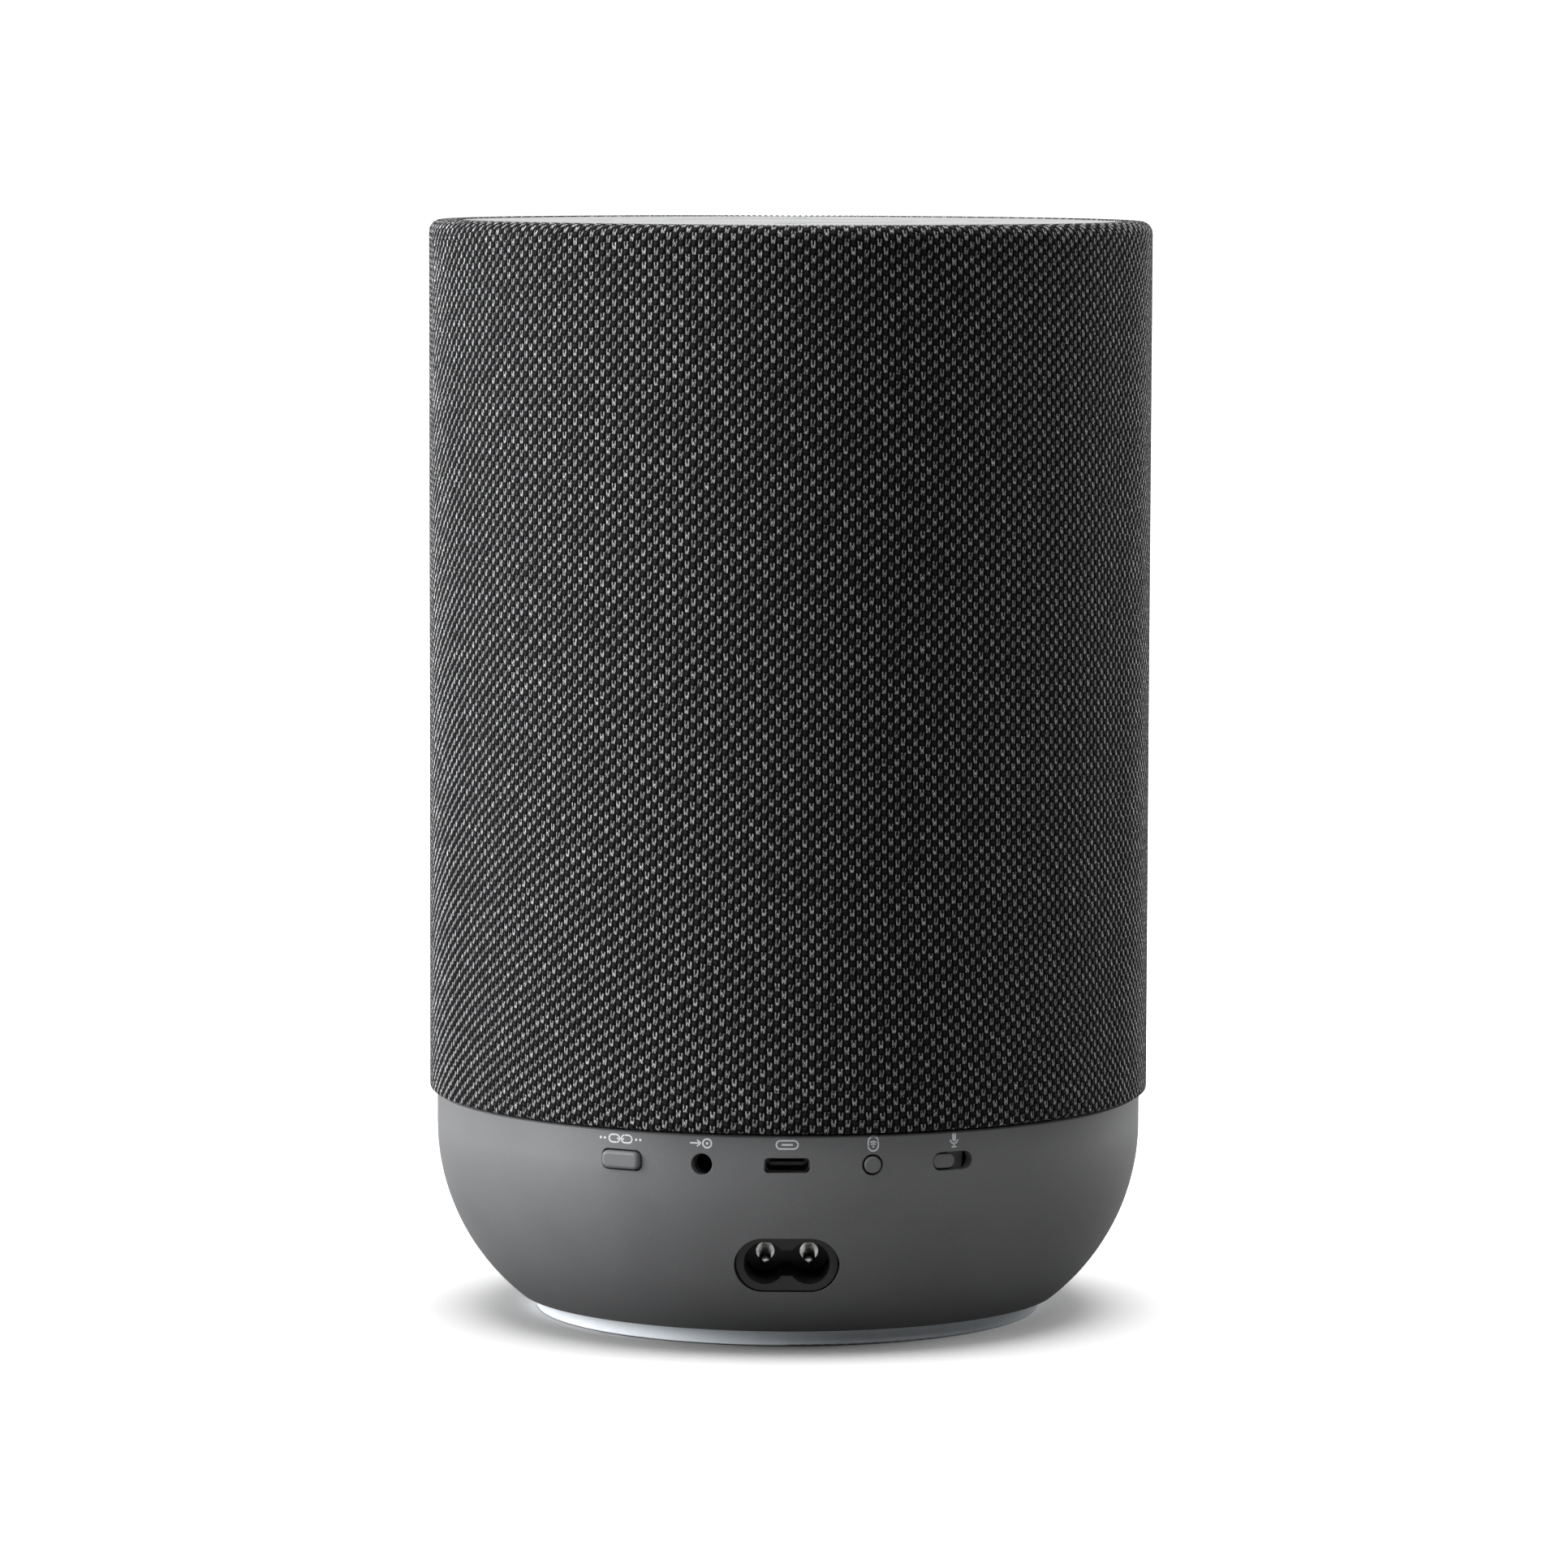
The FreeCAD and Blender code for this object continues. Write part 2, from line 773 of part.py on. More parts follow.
def make_connect_button():
    """Oblong push button with a flange behind the wall and a stem."""
    body = rear_body("connect_button", -2)
    height, width, tall = size["port_height"], size["connect_width"], size["connect_height"]
    front = size["base_radius"] + size["connect_stand"]
    add_block(body, "connect_cap",
              lambda sketch: rounded_rectangle(sketch, width, tall, tall * 0.34, 0.0, height),
              size["flange_front"] - 0.2, front)
    soften(body, "connect_rounding", front, tall * 0.2)
    add_block(body, "connect_flange",
              lambda sketch: rounded_rectangle(sketch, width + 1.6, tall + 1.4, tall * 0.34, 0.0,
                                               height),
              size["flange_back"], size["flange_front"])
    add_block(body, "connect_stem",
              lambda sketch: rounded_rectangle(sketch, width * 0.35, tall * 0.55, tall * 0.1, 0.0,
                                               height),
              size["stem_back"], size["flange_back"] + 0.1)
    finished(body, "connect_button")


def make_wireless_button():
    """Small round push button with a flange behind the wall and a stem."""
    body = rear_body("wireless_button", 1)
    height, radius = size["port_height"], size["wireless_radius"]
    front = size["base_radius"] + size["wireless_stand"]
    add_block(body, "wireless_cap", lambda sketch: circle(sketch, 0.0, height, radius),
              size["flange_front"] - 0.2, front)
    soften(body, "wireless_rounding", front, radius * 0.2)
    add_block(body, "wireless_flange",
              lambda sketch: circle(sketch, 0.0, height, radius + 1.0),
              size["flange_back"], size["flange_front"])
    add_block(body, "wireless_stem",
              lambda sketch: circle(sketch, 0.0, height, radius * 0.6),
              size["stem_back"], size["flange_back"] + 0.1)
    finished(body, "wireless_button")


def make_mic_slider():
    """Slide-switch knob at the left end of its slot, on a plate that covers the slot."""
    body = rear_body("mic_slider", 2)
    height, shift = size["port_height"], -size["knob_shift"]
    knob_radius = size["knob_height"] * 0.47
    add_block(body, "slider_plate",
              lambda sketch: rounded_rectangle(sketch, size["knob_width"] * 2.32,
                                               size["knob_height"] + 1.6, knob_radius, shift,
                                               height),
              size["slider_back"], size["slider_front"])
    add_block(body, "slider_knob",
              lambda sketch: rounded_rectangle(sketch, size["knob_width"], size["knob_height"],
                                               knob_radius, shift, height),
              size["slider_front"] - 0.1, size["knob_face"])
    soften(body, "slider_rounding", size["knob_face"], size["knob_height"] * 0.08)
    add_block(body, "slider_lever",
              lambda sketch: rounded_rectangle(sketch, size["knob_width"] * 0.3,
                                               size["knob_height"] * 0.4, knob_radius * 0.2,
                                               shift, height),
              size["slider_back"] - 0.4, size["slider_back"] + 0.1)
    finished(body, "mic_slider")


def make_switches():
    """Switch bodies on the port board, behind the two buttons and the slide knob."""
    top = size["io_board_top"]
    tall = size["port_height"] - top + 1.7
    front = size["switch_front"]
    switches = []
    for name, width, steps in (("connect_switch", 4.6, -2), ("wireless_switch", 4.0, 1)):
        turn = size["port_step"] * steps
        switches.append(box(name, width, 3.2, tall, 0.0, 0.0, top, turn, front))
    group("button_switches", switches)
    turn = size["port_step"] * 2
    finished(box("mic_switch", size["slot_width"] * 0.95, 3.6, tall, 0.0, 0.0, top, turn,
                 size["slider_back"] - 0.6), "mic_switch")


def make_aux_jack():
    """Block with the round bore of a 3.5 mm jack."""
    body = rear_body("aux_jack", -1)
    height, width = size["port_height"], size["aux_width"]
    low, front, depth = size["io_board_top"], size["aux_front"], size["aux_depth"]
    half = width / 2
    add_block(body, "aux_block",
              lambda sketch: outline(sketch, [(-half, low), (half, low), (half, height + 2.6),
                                              (-half, height + 2.6)]),
              front - depth, front)
    bore = new_sketch(body, "aux_bore", "XZ_Plane", front)
    circle(bore, 0.0, height, size["aux_bore_radius"])
    add_pocket(body, bore, depth - 1.5)
    finished(body, "aux_jack")


def make_usb_port():
    """Metal shell of the USB socket and the tongue inside it."""
    body = new_body("usb_shell")
    height, front, depth = size["port_height"], size["usb_front"], size["usb_depth"]
    width, tall, wall = size["usb_width"], size["usb_height"], size["usb_wall"]
    add_block(body, "usb_outside",
              lambda sketch: rounded_rectangle(sketch, width, tall, tall * 0.45, 0.0, height),
              front - depth, front)
    foot = width / 4
    low = size["io_board_top"]
    add_block(body, "usb_feet",
              lambda sketch: outline(sketch, [(-foot, low), (foot, low),
                                              (foot, height - tall / 2 + wall / 2),
                                              (-foot, height - tall / 2 + wall / 2)]),
              front - depth + 0.5, front - 2.0)
    inside = new_sketch(body, "usb_inside", "XZ_Plane", front)
    rounded_rectangle(inside, width - wall * 2, tall - wall * 2, tall * 0.35, 0.0, height)
    add_pocket(body, inside, depth - 0.6)
    finished(body, "usb_shell")
    tongue = new_body("usb_tongue")
    add_block(tongue, "usb_tongue_plate",
              lambda sketch: rounded_rectangle(sketch, size["tongue_width"],
                                               size["tongue_thickness"],
                                               size["tongue_thickness"] * 0.3, 0.0, height),
              front - depth + 0.6, front - 0.6)
    finished(tongue, "usb_tongue")


def make_inlet():
    """Figure-of-eight mains inlet: moulded housing with a recess and two pins."""
    body = new_body("inlet_housing")
    height, front = size["inlet_height"], size["inlet_front"]
    back, floor = size["inlet_back"], size["inlet_floor"]
    add_block(body, "inlet_nose",
              lambda sketch: pill(sketch, size["inlet_width"], size["inlet_body_height"], 0.0,
                                  height),
              back, front)
    board_top = size["power_board_bottom"] + size["board_thickness"]
    half = size["inlet_width"] / 2 + 1.0
    add_block(body, "inlet_block",
              lambda sketch: outline(sketch, [(-half, board_top), (half, board_top),
                                              (half, height + 6.0), (-half, height + 6.0)]),
              back, front - 9.5)
    lobe, reach, waist = size["inlet_lobe"], size["inlet_pitch"] / 2, size["inlet_waist"] / 2
    for side, name in ((-1, "inlet_left"), (1, "inlet_right")):
        sketch = new_sketch(body, name, "XZ_Plane", front)
        circle(sketch, reach * side, height, lobe)
        add_pocket(body, sketch, front - floor)
    middle = new_sketch(body, "inlet_middle", "XZ_Plane", front)
    outline(middle, [(-reach, height - waist), (reach, height - waist),
                     (reach, height + waist), (-reach, height + waist)])
    add_pocket(body, middle, front - floor)
    finished(body, "inlet_housing")
    pins = []
    for side, name in ((-1, "left_pin"), (1, "right_pin")):
        x, radius = reach * side, size["pin_radius"]
        dome_start = size["pin_tip"] - radius
        shaft = rod(name, radius, dome_start - floor, x, -dome_start, height, "y")
        dome = ball(name, radius, x, -dome_start, height)
        collar = rod(name + "_collar", size["collar_radius"], size["collar_height"], x,
                     -floor - size["collar_height"], height, "y")
        pins.append(fuse(name, shaft, dome, collar))
    group("inlet_pins", pins)


# --- electronics in the base ------------------------------------------------------------------


def make_power_board():
    """Mains power board with its large components."""
    bottom, thick = size["power_board_bottom"], size["board_thickness"]
    top = bottom + thick
    width, length = size["power_board_width"], size["power_board_length"]
    centre = length / 2 - size["power_board_front"]
    finished(box("power_board", width, length, thick, 0.0, centre, bottom), "power_board")
    core = box("transformer_core", 22.0, 20.0, 14.0, -9.0, 12.0, top)
    winding = box("transformer_winding", 26.0, 12.0, 10.0, -9.0, 12.0, top + 2.0)
    finished(fuse("transformer", core, winding), "transformer")
    finished(rod("bulk_capacitor", 8.0, 19.0, 12.5, -16.0, top), "bulk_capacitor")
    ring = rod("choke_ring", 7.0, 8.0, -12.0, -24.0, top)
    hole = rod("choke_hole", 3.0, 8.0, -12.0, -24.0, top)
    finished(cut("choke", ring, hole), "mains_choke")
    plate = box("sink_plate", 3.0, 26.0, 18.0, 14.0, 10.0, top)
    fins = [
        box("sink_fin_%d" % (number + 1), 6.0, 1.4, 18.0, 18.0, -1.6 + 5.8 * number, top)
        for number in range(5)
    ]
    finished(fuse("sink", plate, *fins), "power_heat_sink")


def make_spacers():
    """Four posts under the power board and four between it and the main board."""
    power_bottom, thick = size["power_board_bottom"], size["board_thickness"]
    low, upper = size["plate_top"], power_bottom + thick
    levels = [("low_spacer", 20.0, 35.0, low, power_bottom - low),
              ("high_spacer", 21.0, 27.0, upper, size["main_board_bottom"] - upper)]
    spacers = []
    for name, x, y, bottom, length in levels:
        for number, (right, back) in enumerate(((1, 1), (1, -1), (-1, 1), (-1, -1)), start=1):
            spacers.append(
                rod("%s_%d" % (name, number), 2.0, length, x * right, y * back, bottom))
    group("board_spacers", spacers)


def make_main_board():
    """Round main board with its shield, heat sink and radio module."""
    bottom, thick = size["main_board_bottom"], size["board_thickness"]
    top = bottom + thick
    disc("main_board", size["main_board_radius"], bottom, top)
    make_spacers()
    outside = box("shield_outside", 26.0, 24.0, 2.6, -8.0, -6.0, top)
    inside = box("shield_inside", 25.4, 23.4, 2.3, -8.0, -6.0, top)
    finished(cut("shield", outside, inside), "shield_can")
    base = box("cooler_base", 20.0, 20.0, 1.6, -8.0, -6.0, top + 2.6)
    fins = [
        box("cooler_fin_%d" % (number + 1), 20.0, 1.2, 4.6, -8.0, -15.0 + 4.5 * number,
            top + 2.6)
        for number in range(5)
    ]
    finished(fuse("cooler", base, *fins), "processor_heat_sink")
    finished(box("radio_module", 14.0, 18.0, 2.4, 17.0, -6.0, top), "radio_module")


def make_io_board():
    """Curved board behind the row of ports, held by two screws."""
    body = new_body("io_board")
    inner, outer = size["io_board_inner"], size["io_board_outer"]
    top, thick = size["io_board_top"], size["board_thickness"]
    sketch = new_sketch(body, "io_board_section", "XZ_Plane")
    outline(sketch, [(inner, top - thick), (outer, top - thick), (outer, top), (inner, top)])
    feature = body.newObject("PartDesign::Revolution", "io_board_turn")
    feature.Profile = sketch
    feature.ReferenceAxis = (sketch, ["V_Axis"])
    bind(feature, "Angle", size["io_board_angle"])
    feature.Midplane = True
    body.Tip = feature
    place(body, turn=-90.0)
    finished(body, "io_board")


# --- middle frame and acoustic cabinet --------------------------------------------------------


def make_mid_frame():
    """Plate that closes the base and carries the cabinet and the grille."""
    body = new_body("mid_frame")
    outer, hole, top = size["frame_radius"], size["frame_hole"], size["frame_top"]
    bottom = size["boss_top"]
    add_revolution(body, "mid_frame_turn", [(hole, bottom), (outer, bottom), (outer, top),
                                            (hole, top)])
    middle = size["screw_circle"] * math.sqrt(0.5)
    hole_sketch = new_sketch(body, "mid_frame_hole", "XY_Plane", top)
    circle(hole_sketch, middle, middle, size["pilot_radius"] + 0.15)
    add_pattern(body, add_pocket(body, hole_sketch, top - bottom), 4)
    seat = new_sketch(body, "mid_frame_seat", "XY_Plane", top)
    circle(seat, middle, middle, size["screw_head_radius"] + 0.3)
    add_pattern(body, add_pocket(body, seat, size["screw_head_height"] + 0.2), 4)
    posts = new_sketch(body, "mid_frame_posts", "XY_Plane", size["io_board_top"])
    for side in (-1, 1):
        circle(posts, 25.0 * side, -48.0, 2.4)
    add_pad(body, posts, bottom - size["io_board_top"])
    finished(body, "mid_frame")


def make_cabinet():
    """Sealed speaker box with a flat seat for a passive radiator on each side."""
    radius, wall = size["cabinet_radius"], size["cabinet_wall"]
    low, top, height = size["cabinet_bottom"], size["cabinet_top"], size["radiator_height"]
    flat, boss = size["radiator_flat"], size["radiator_boss"]
    depth, hole = size["radiator_boss_depth"], size["radiator_opening"]
    outside = rod("cabinet_outside", radius, top - low, 0.0, 0.0, low)
    inside = rod("cabinet_inside", radius - wall, top - low, 0.0, 0.0, low + wall)
    shell = cut("cabinet_shell", outside, inside)
    seats = []
    facings = []
    for side, name in ((-1, "left"), (1, "right")):
        start = -flat if side < 0 else flat - depth
        seat = rod("seat_" + name, boss, depth, start, 0.0, height, "x")
        facing_start = -flat - 12.0 if side < 0 else flat
        facing = rod("facing_" + name, boss + 0.2, 12.0, facing_start, 0.0, height, "x")
        seats.append(seat)
        facings.append(facing)
    flattened = cut("cabinet_flat", shell, *facings)
    joined = fuse("cabinet_body", flattened, *seats)
    opening = rod("radiator_bore", hole, flat * 2 + 4.0, -flat - 2.0, 0.0, height, "x")
    lead_hole = rod("cabinet_lead_hole", 3.0, wall + 2.0, 0.0, 32.0, low - 1.0)
    finished(cut("cabinet_bored", joined, opening, lead_hole), "cabinet")


def lying_body(name, side):
    """A turned body whose axis lies along +X or -X at the height of the radiators."""
    body = new_body(name)
    rotation = Rotation(Vector(0, 1, 0), 90.0 * side)
    body.Placement = Placement(Vector(0, 0, SIZES["radiator_height"]), rotation)
    bind(body, "Placement.Base.z", size["radiator_height"])
    return body


def add_surround_section(body, name):
    """Half-roll rubber edge between a radiator's plate and its seat."""
    flat, plate = size["radiator_flat"], size["radiator_plate"]
    low, high = flat + 1.2, flat + 1.9
    roll = (size["radiator_opening"] - plate) / 2 + 0.5
    start = plate - 0.5
    end = start + roll * 2
    add_revolution(body, "radiator_surround_turn_" + name,
                   [(start - 1.5, low), (start + 0.6, low), (end - 0.6, low), (end + 1.5, low),
                    (end + 1.5, high), (end, high), (start, high), (start - 1.5, high)],
                   {1: -(roll - 0.5), 5: roll + 0.1})


def make_radiators():
    """Passive radiators: frame, rubber surround and weighted plate on each side."""
    flat, plate = size["radiator_flat"], size["radiator_plate"]
    boss, hole = size["radiator_boss"], size["radiator_opening"]
    frames = []
    for side, name in ((-1, "left"), (1, "right")):
        frame = lying_body("radiator_frame_" + name, side)
        add_revolution(frame, "radiator_frame_turn_" + name,
                       [(hole + 2.5, flat), (boss, flat), (boss, flat + 2.0),
                        (hole + 2.5, flat + 2.0)])
        frames.append(frame)
        surround = lying_body("radiator_surround_" + name, side)
        add_surround_section(surround, name)
        finished(surround, "radiator_surround_" + name)
        disc_body = lying_body("radiator_" + name, side)
        add_revolution(disc_body, "radiator_turn_" + name,
                       [(0, flat - 3.2), (plate * 0.6, flat - 3.2), (plate * 0.6, flat - 0.2),
                        (plate - 0.6, flat - 0.2), (plate - 0.6, flat + 1.2), (0, flat + 1.2)])
        finished(disc_body, "radiator_" + name)
    group("radiator_frames", frames)


def make_baffle():
    """Lid of the cabinet, with the hole for the woofer."""
    body = new_body("baffle")
    low, top = size["cabinet_top"], size["baffle_top"]
    radius, wall = size["cabinet_radius"], size["cabinet_wall"]
    hole = size["baffle_hole"]
    step = radius - wall - 0.3
    thread = size["woofer_circle"] * math.sqrt(0.5)
    add_revolution(body, "baffle_turn",
                   [(hole, low - 2.0), (step, low - 2.0), (step, low), (radius, low),
                    (radius, top), (hole, top)])
    pilot = new_sketch(body, "baffle_pilot", "XY_Plane", top)
    circle(pilot, thread, thread, size["pilot_radius"])
    add_pattern(body, add_pocket(body, pilot, top - low + 2.0), 4)
    finished(body, "baffle")


# --- woofer -----------------------------------------------------------------------------------


def make_woofer():
    """Up-firing woofer: magnet system, basket, voice coil, cone, spider, surround and cap."""
    magnet_low, magnet_high = size["magnet_bottom"], size["magnet_top"]
    back, top = size["back_plate_bottom"], size["top_plate_top"]
    pole, magnet = size["pole_radius"], size["magnet_radius"]
    turned("woofer_back_plate",
           [(0, back), (magnet - 1.0, back), (magnet - 1.0, magnet_low), (pole, magnet_low),
            (pole, top), (0, top)])
    tube("woofer_magnet", size["magnet_bore"], magnet, magnet_low, magnet_high)
    tube("woofer_top_plate", size["gap_radius"], magnet - 1.0, magnet_high, top)
    make_basket()
    spider, former = size["spider_height"], size["former_outer"]
    cone_low = spider + 8.0
    turned("voice_coil",
           [(size["former_inner"], back + 11.0), (former, back + 11.0), (former, top - 5.3),
            (size["coil_outer"], top - 5.3), (size["coil_outer"], top + 2.7),
            (former, top + 2.7), (former, cone_low), (size["former_inner"], cone_low)])
    edge = size["cone_outer"]
    rim = size["baffle_top"] + 3.0
    turned("woofer_cone",
           [(former, cone_low - 2.0), (former + 1.0, cone_low - 2.0), (edge - 1.5, rim - 0.6),
            (edge, rim - 0.6), (edge, rim), (edge - 1.8, rim), (former + 0.2, cone_low),
            (former, cone_low)])
    cap = former + 3.0
    rise = 4.2
    ball = dome_radius(cap, Size(rise, repr(rise)))
    skin = 0.6
    foot = cone_low + 2.4
    turned("dust_cap",
           [(0, foot + rise), (cap, foot), (cap, foot + skin), (0, foot + rise + skin)],
           {0: -ball, 2: ball})
    make_spider(former, spider)
    make_surround(edge, rim)


def make_basket():
    """Pressed steel basket with six windows."""
    body = new_body("woofer_basket")
    flange, top = size["flange_radius"], size["baffle_top"]
    ledge, bottom = size["spider_height"], size["top_plate_top"]
    rim = size["baffle_hole"] - 0.3
    skin = 1.2
    ring = size["magnet_radius"]
    add_revolution(
        body,
        "basket_turn",
        [
            (ring - 8.0, bottom),
            (ring + 0.2, bottom),
            (ring + 0.2, ledge - 1.5),
            (ring + 2.5, ledge - 1.5),
            (rim, top - 2.0),
            (rim, top),
            (flange, top),
            (flange, top + 1.6),
            (rim - skin, top + 1.6),
            (rim - skin, top - 1.5),
            (ring + 1.9, ledge),
            (ring - 1.0, ledge),
            (ring - 1.0, bottom + skin),
            (ring - 8.0, bottom + skin),
        ],
    )
    window = new_sketch(body, "basket_window", "XY_Plane", top - 2.5)
    outline(window, [(ring + 4.0, -9.0), (rim - 2.5, -13.0), (rim - 2.5, 13.0),
                     (ring + 4.0, 9.0)])
    add_pattern(body, add_pocket(body, window, top - ledge - 4.0), 6)
    hole = new_sketch(body, "basket_hole", "XY_Plane", top + 1.6)
    middle = size["woofer_circle"] * math.sqrt(0.5)
    circle(hole, middle, middle, size["screw_radius"] + 0.2)
    add_pattern(body, add_pocket(body, hole, 1.6), 4)
    finished(body, "woofer_basket")


def make_spider(former, height):
    """Corrugated disc that centres the voice coil."""
    inner = former + 0.3
    outer = size["magnet_radius"] + 1.6
    waves = 4
    landing = 3.2
    pitch = (outer - inner - 0.5 - landing) / waves
    wave = pitch / 2
    lower = [(inner, height)]
    arcs = {}
    for number in range(waves * 2):
        arcs[len(lower)] = wave * (1.0 if number % 2 else -1.0) * 0.62
        lower.append((inner + 0.5 + wave * number, height))
    lower.append((inner + 0.5 + wave * waves * 2, height))
    lower.append((outer, height))
    upper = [(outer, height + 0.4)]
    for number in range(waves * 2):
        arcs[len(lower) + len(upper)] = wave * (1.0 if number % 2 else -1.0) * 0.62
        upper.append((inner + 0.5 + wave * (waves * 2 - number), height + 0.4))
    upper.append((inner + 0.5, height + 0.4))
    upper.append((inner, height + 0.4))
    turned("woofer_spider", lower + upper, arcs)


def make_surround(edge, rim):
    """Half-roll rubber edge between the cone and the basket flange."""
    low = size["baffle_top"] + 1.6
    roll = (size["baffle_hole"] - edge) / 2 + 0.2
    middle = edge + roll
    turned("woofer_surround",
           [(edge - 2.0, rim), (edge + 0.2, rim), (middle + roll, rim), (middle + roll, low),
            (size["flange_radius"] - 6.1, low), (size["flange_radius"] - 6.1, low + 0.8),
            (middle + roll + 0.7, low + 0.8), (middle + roll + 0.7, rim),
            (edge - 0.5, rim + 0.6), (edge - 2.0, rim + 0.6)],
           {1: -(roll + 0.1), 7: roll + 0.9})


# --- top: deflector, tweeters, touch electronics ----------------------------------------------


def make_deflector():
    """Cone that spreads the woofer's sound sideways, on four posts, with tweeter brackets."""
    body = new_body("acoustic_deflector")
    top, low = size["deflector_top"], size["baffle_top"]
    radius, posts = size["deflector_radius"], size["post_circle"]
    rim = posts + size["post_radius"] + 0.6
    add_revolution(body, "deflector_turn",
                   [(0, low + 6.0), (2.0, low + 6.6), (radius, top - 2.4), (rim, top - 2.4),
                    (rim, top), (radius - 2.0, top), (radius - 2.0, top - 1.0),
                    (0, low + 10.0)],
                   {1: -size["fabric_radius"], 6: size["fabric_radius"]})
    middle = posts * math.sqrt(0.5)
    post = new_sketch(body, "deflector_post", "XY_Plane", low)
    circle(post, middle, middle, size["post_radius"])
    add_pattern(body, add_pad(body, post, top - 1.0 - low), 4)
    pilot = new_sketch(body, "deflector_pilot", "XY_Plane", top)
    circle(pilot, middle, middle, size["pilot_radius"])
    add_pattern(body, add_pocket(body, pilot, size["screw_length"]), 4)
    for side, name in ((-1, "left"), (1, "right")):
        centre = 58.0 * side
        bracket = new_sketch(body, "tweeter_bracket_" + name, "XY_Plane", low)
        outline(bracket, [(centre + 1.0, -12.0), (centre + 1.0, 12.0), (centre - 1.0, 12.0),
                          (centre - 1.0, -12.0)])
        add_pad(body, bracket, top - 2.0 - low)
    hole = new_sketch(body, "tweeter_hole", "YZ_Plane", 70.0)
    circle(hole, 0.0, size["tweeter_height"], size["tweeter_radius"] + 0.3)
    add_pocket(body, hole, 140.0)
    finished(body, "acoustic_deflector")


def make_tweeters():
    """Two small tweeters behind the fabric, facing +X and -X, each with a dome."""
    height, radius, flange = size["tweeter_height"], size["tweeter_radius"], size["tweeter_flange"]
    domes = []
    ball = dome_radius(radius - 3.0, Size(2.4, "2.4"))
    for side, name in ((-1, "left"), (1, "right")):
        tweeter = new_body("tweeter_" + name)
        place(tweeter, z=height, turn=90.0 * side, axis=Vector(0, 1, 0))
        add_revolution(tweeter, "tweeter_turn_" + name,
                       [(0, 50.0), (radius, 50.0), (radius, 59.0), (flange, 59.0),
                        (flange, 60.6), (radius - 1.8, 60.6), (radius - 2.6, 59.6), (0, 59.6)])
        finished(tweeter, "tweeter_" + name)
        dome = new_body("tweeter_dome_" + name)
        place(dome, z=height, turn=90.0 * side, axis=Vector(0, 1, 0))
        add_revolution(dome, "tweeter_dome_turn_" + name,
                       [(0, 59.7), (radius - 3.0, 59.7), (0, 59.7 + 2.4)], {1: ball})
        domes.append(dome)
    group("tweeter_domes", domes)


def make_top_carrier():
    """Shallow dish that carries the touch board and the top panel."""
    body = new_body("top_carrier")
    outer, low = size["carrier_radius"], size["deflector_top"]
    floor, top = size["carrier_floor"], size["carrier_top"]
    board = size["touch_board_bottom"]
    rest = size["touch_board_radius"] - 5.0
    add_revolution(body, "carrier_turn",
                   [(0, low), (outer, low), (outer, top), (outer - 2.2, top),
                    (outer - 2.2, floor), (rest + 1.5, floor), (rest + 1.5, board),
                    (rest - 0.5, board), (rest - 0.5, floor), (0, floor)])
    hole = new_sketch(body, "carrier_hole", "XY_Plane", floor)
    middle = size["post_circle"] * math.sqrt(0.5)
    circle(hole, middle, middle, size["screw_radius"] + 0.2)
    add_pattern(body, add_pocket(body, hole, floor - low), 4)
    finished(body, "top_carrier")


def make_touch_parts():
    """Touch board, its microphones and the soft boots that seal them to the panel."""
    bottom, thick = size["touch_board_bottom"], size["board_thickness"]
    disc("touch_board", size["touch_board_radius"], bottom, bottom + thick)
    places = list(ring_places(size["mic_circle"], 4, 45.0))
    microphones = [
        box("microphone_%d" % number, 3.6, 2.8, 1.1, x, y, bottom - 1.1)
        for number, (x, y) in enumerate(places, start=1)
    ]
    group("microphones", microphones)
    boots = []
    for number, (x, y) in enumerate(places, start=1):
        outside = rod("boot_%d_outside" % number, 2.6, size["panel_bottom"] - bottom - thick, x, y,
                      bottom + thick)
        inside = rod("boot_%d_inside" % number, 0.9, size["panel_bottom"] - bottom - thick, x, y,
                     bottom + thick)
        boots.append(cut("boot_%d" % number, outside, inside))
    group("microphone_boots", boots)


def make_top_panel():
    """Smooth touch panel with four microphone holes."""
    body = new_body("top_panel")
    radius, low, top = size["panel_radius"], size["panel_bottom"], size["panel_top"]
    bevel = size["panel_bevel"]
    add_revolution(body, "panel_turn", [(0, low), (radius, low), (radius, top - bevel),
                                        (radius - bevel, top), (0, top)])
    hole = new_sketch(body, "panel_hole", "XY_Plane", top)
    middle = size["mic_circle"] * math.sqrt(0.5)
    circle(hole, middle, middle, size["mic_hole"])
    add_pattern(body, add_pocket(body, hole, top - low), 4)
    finished(body, "top_panel")


# --- grille and fabric ------------------------------------------------------------------------


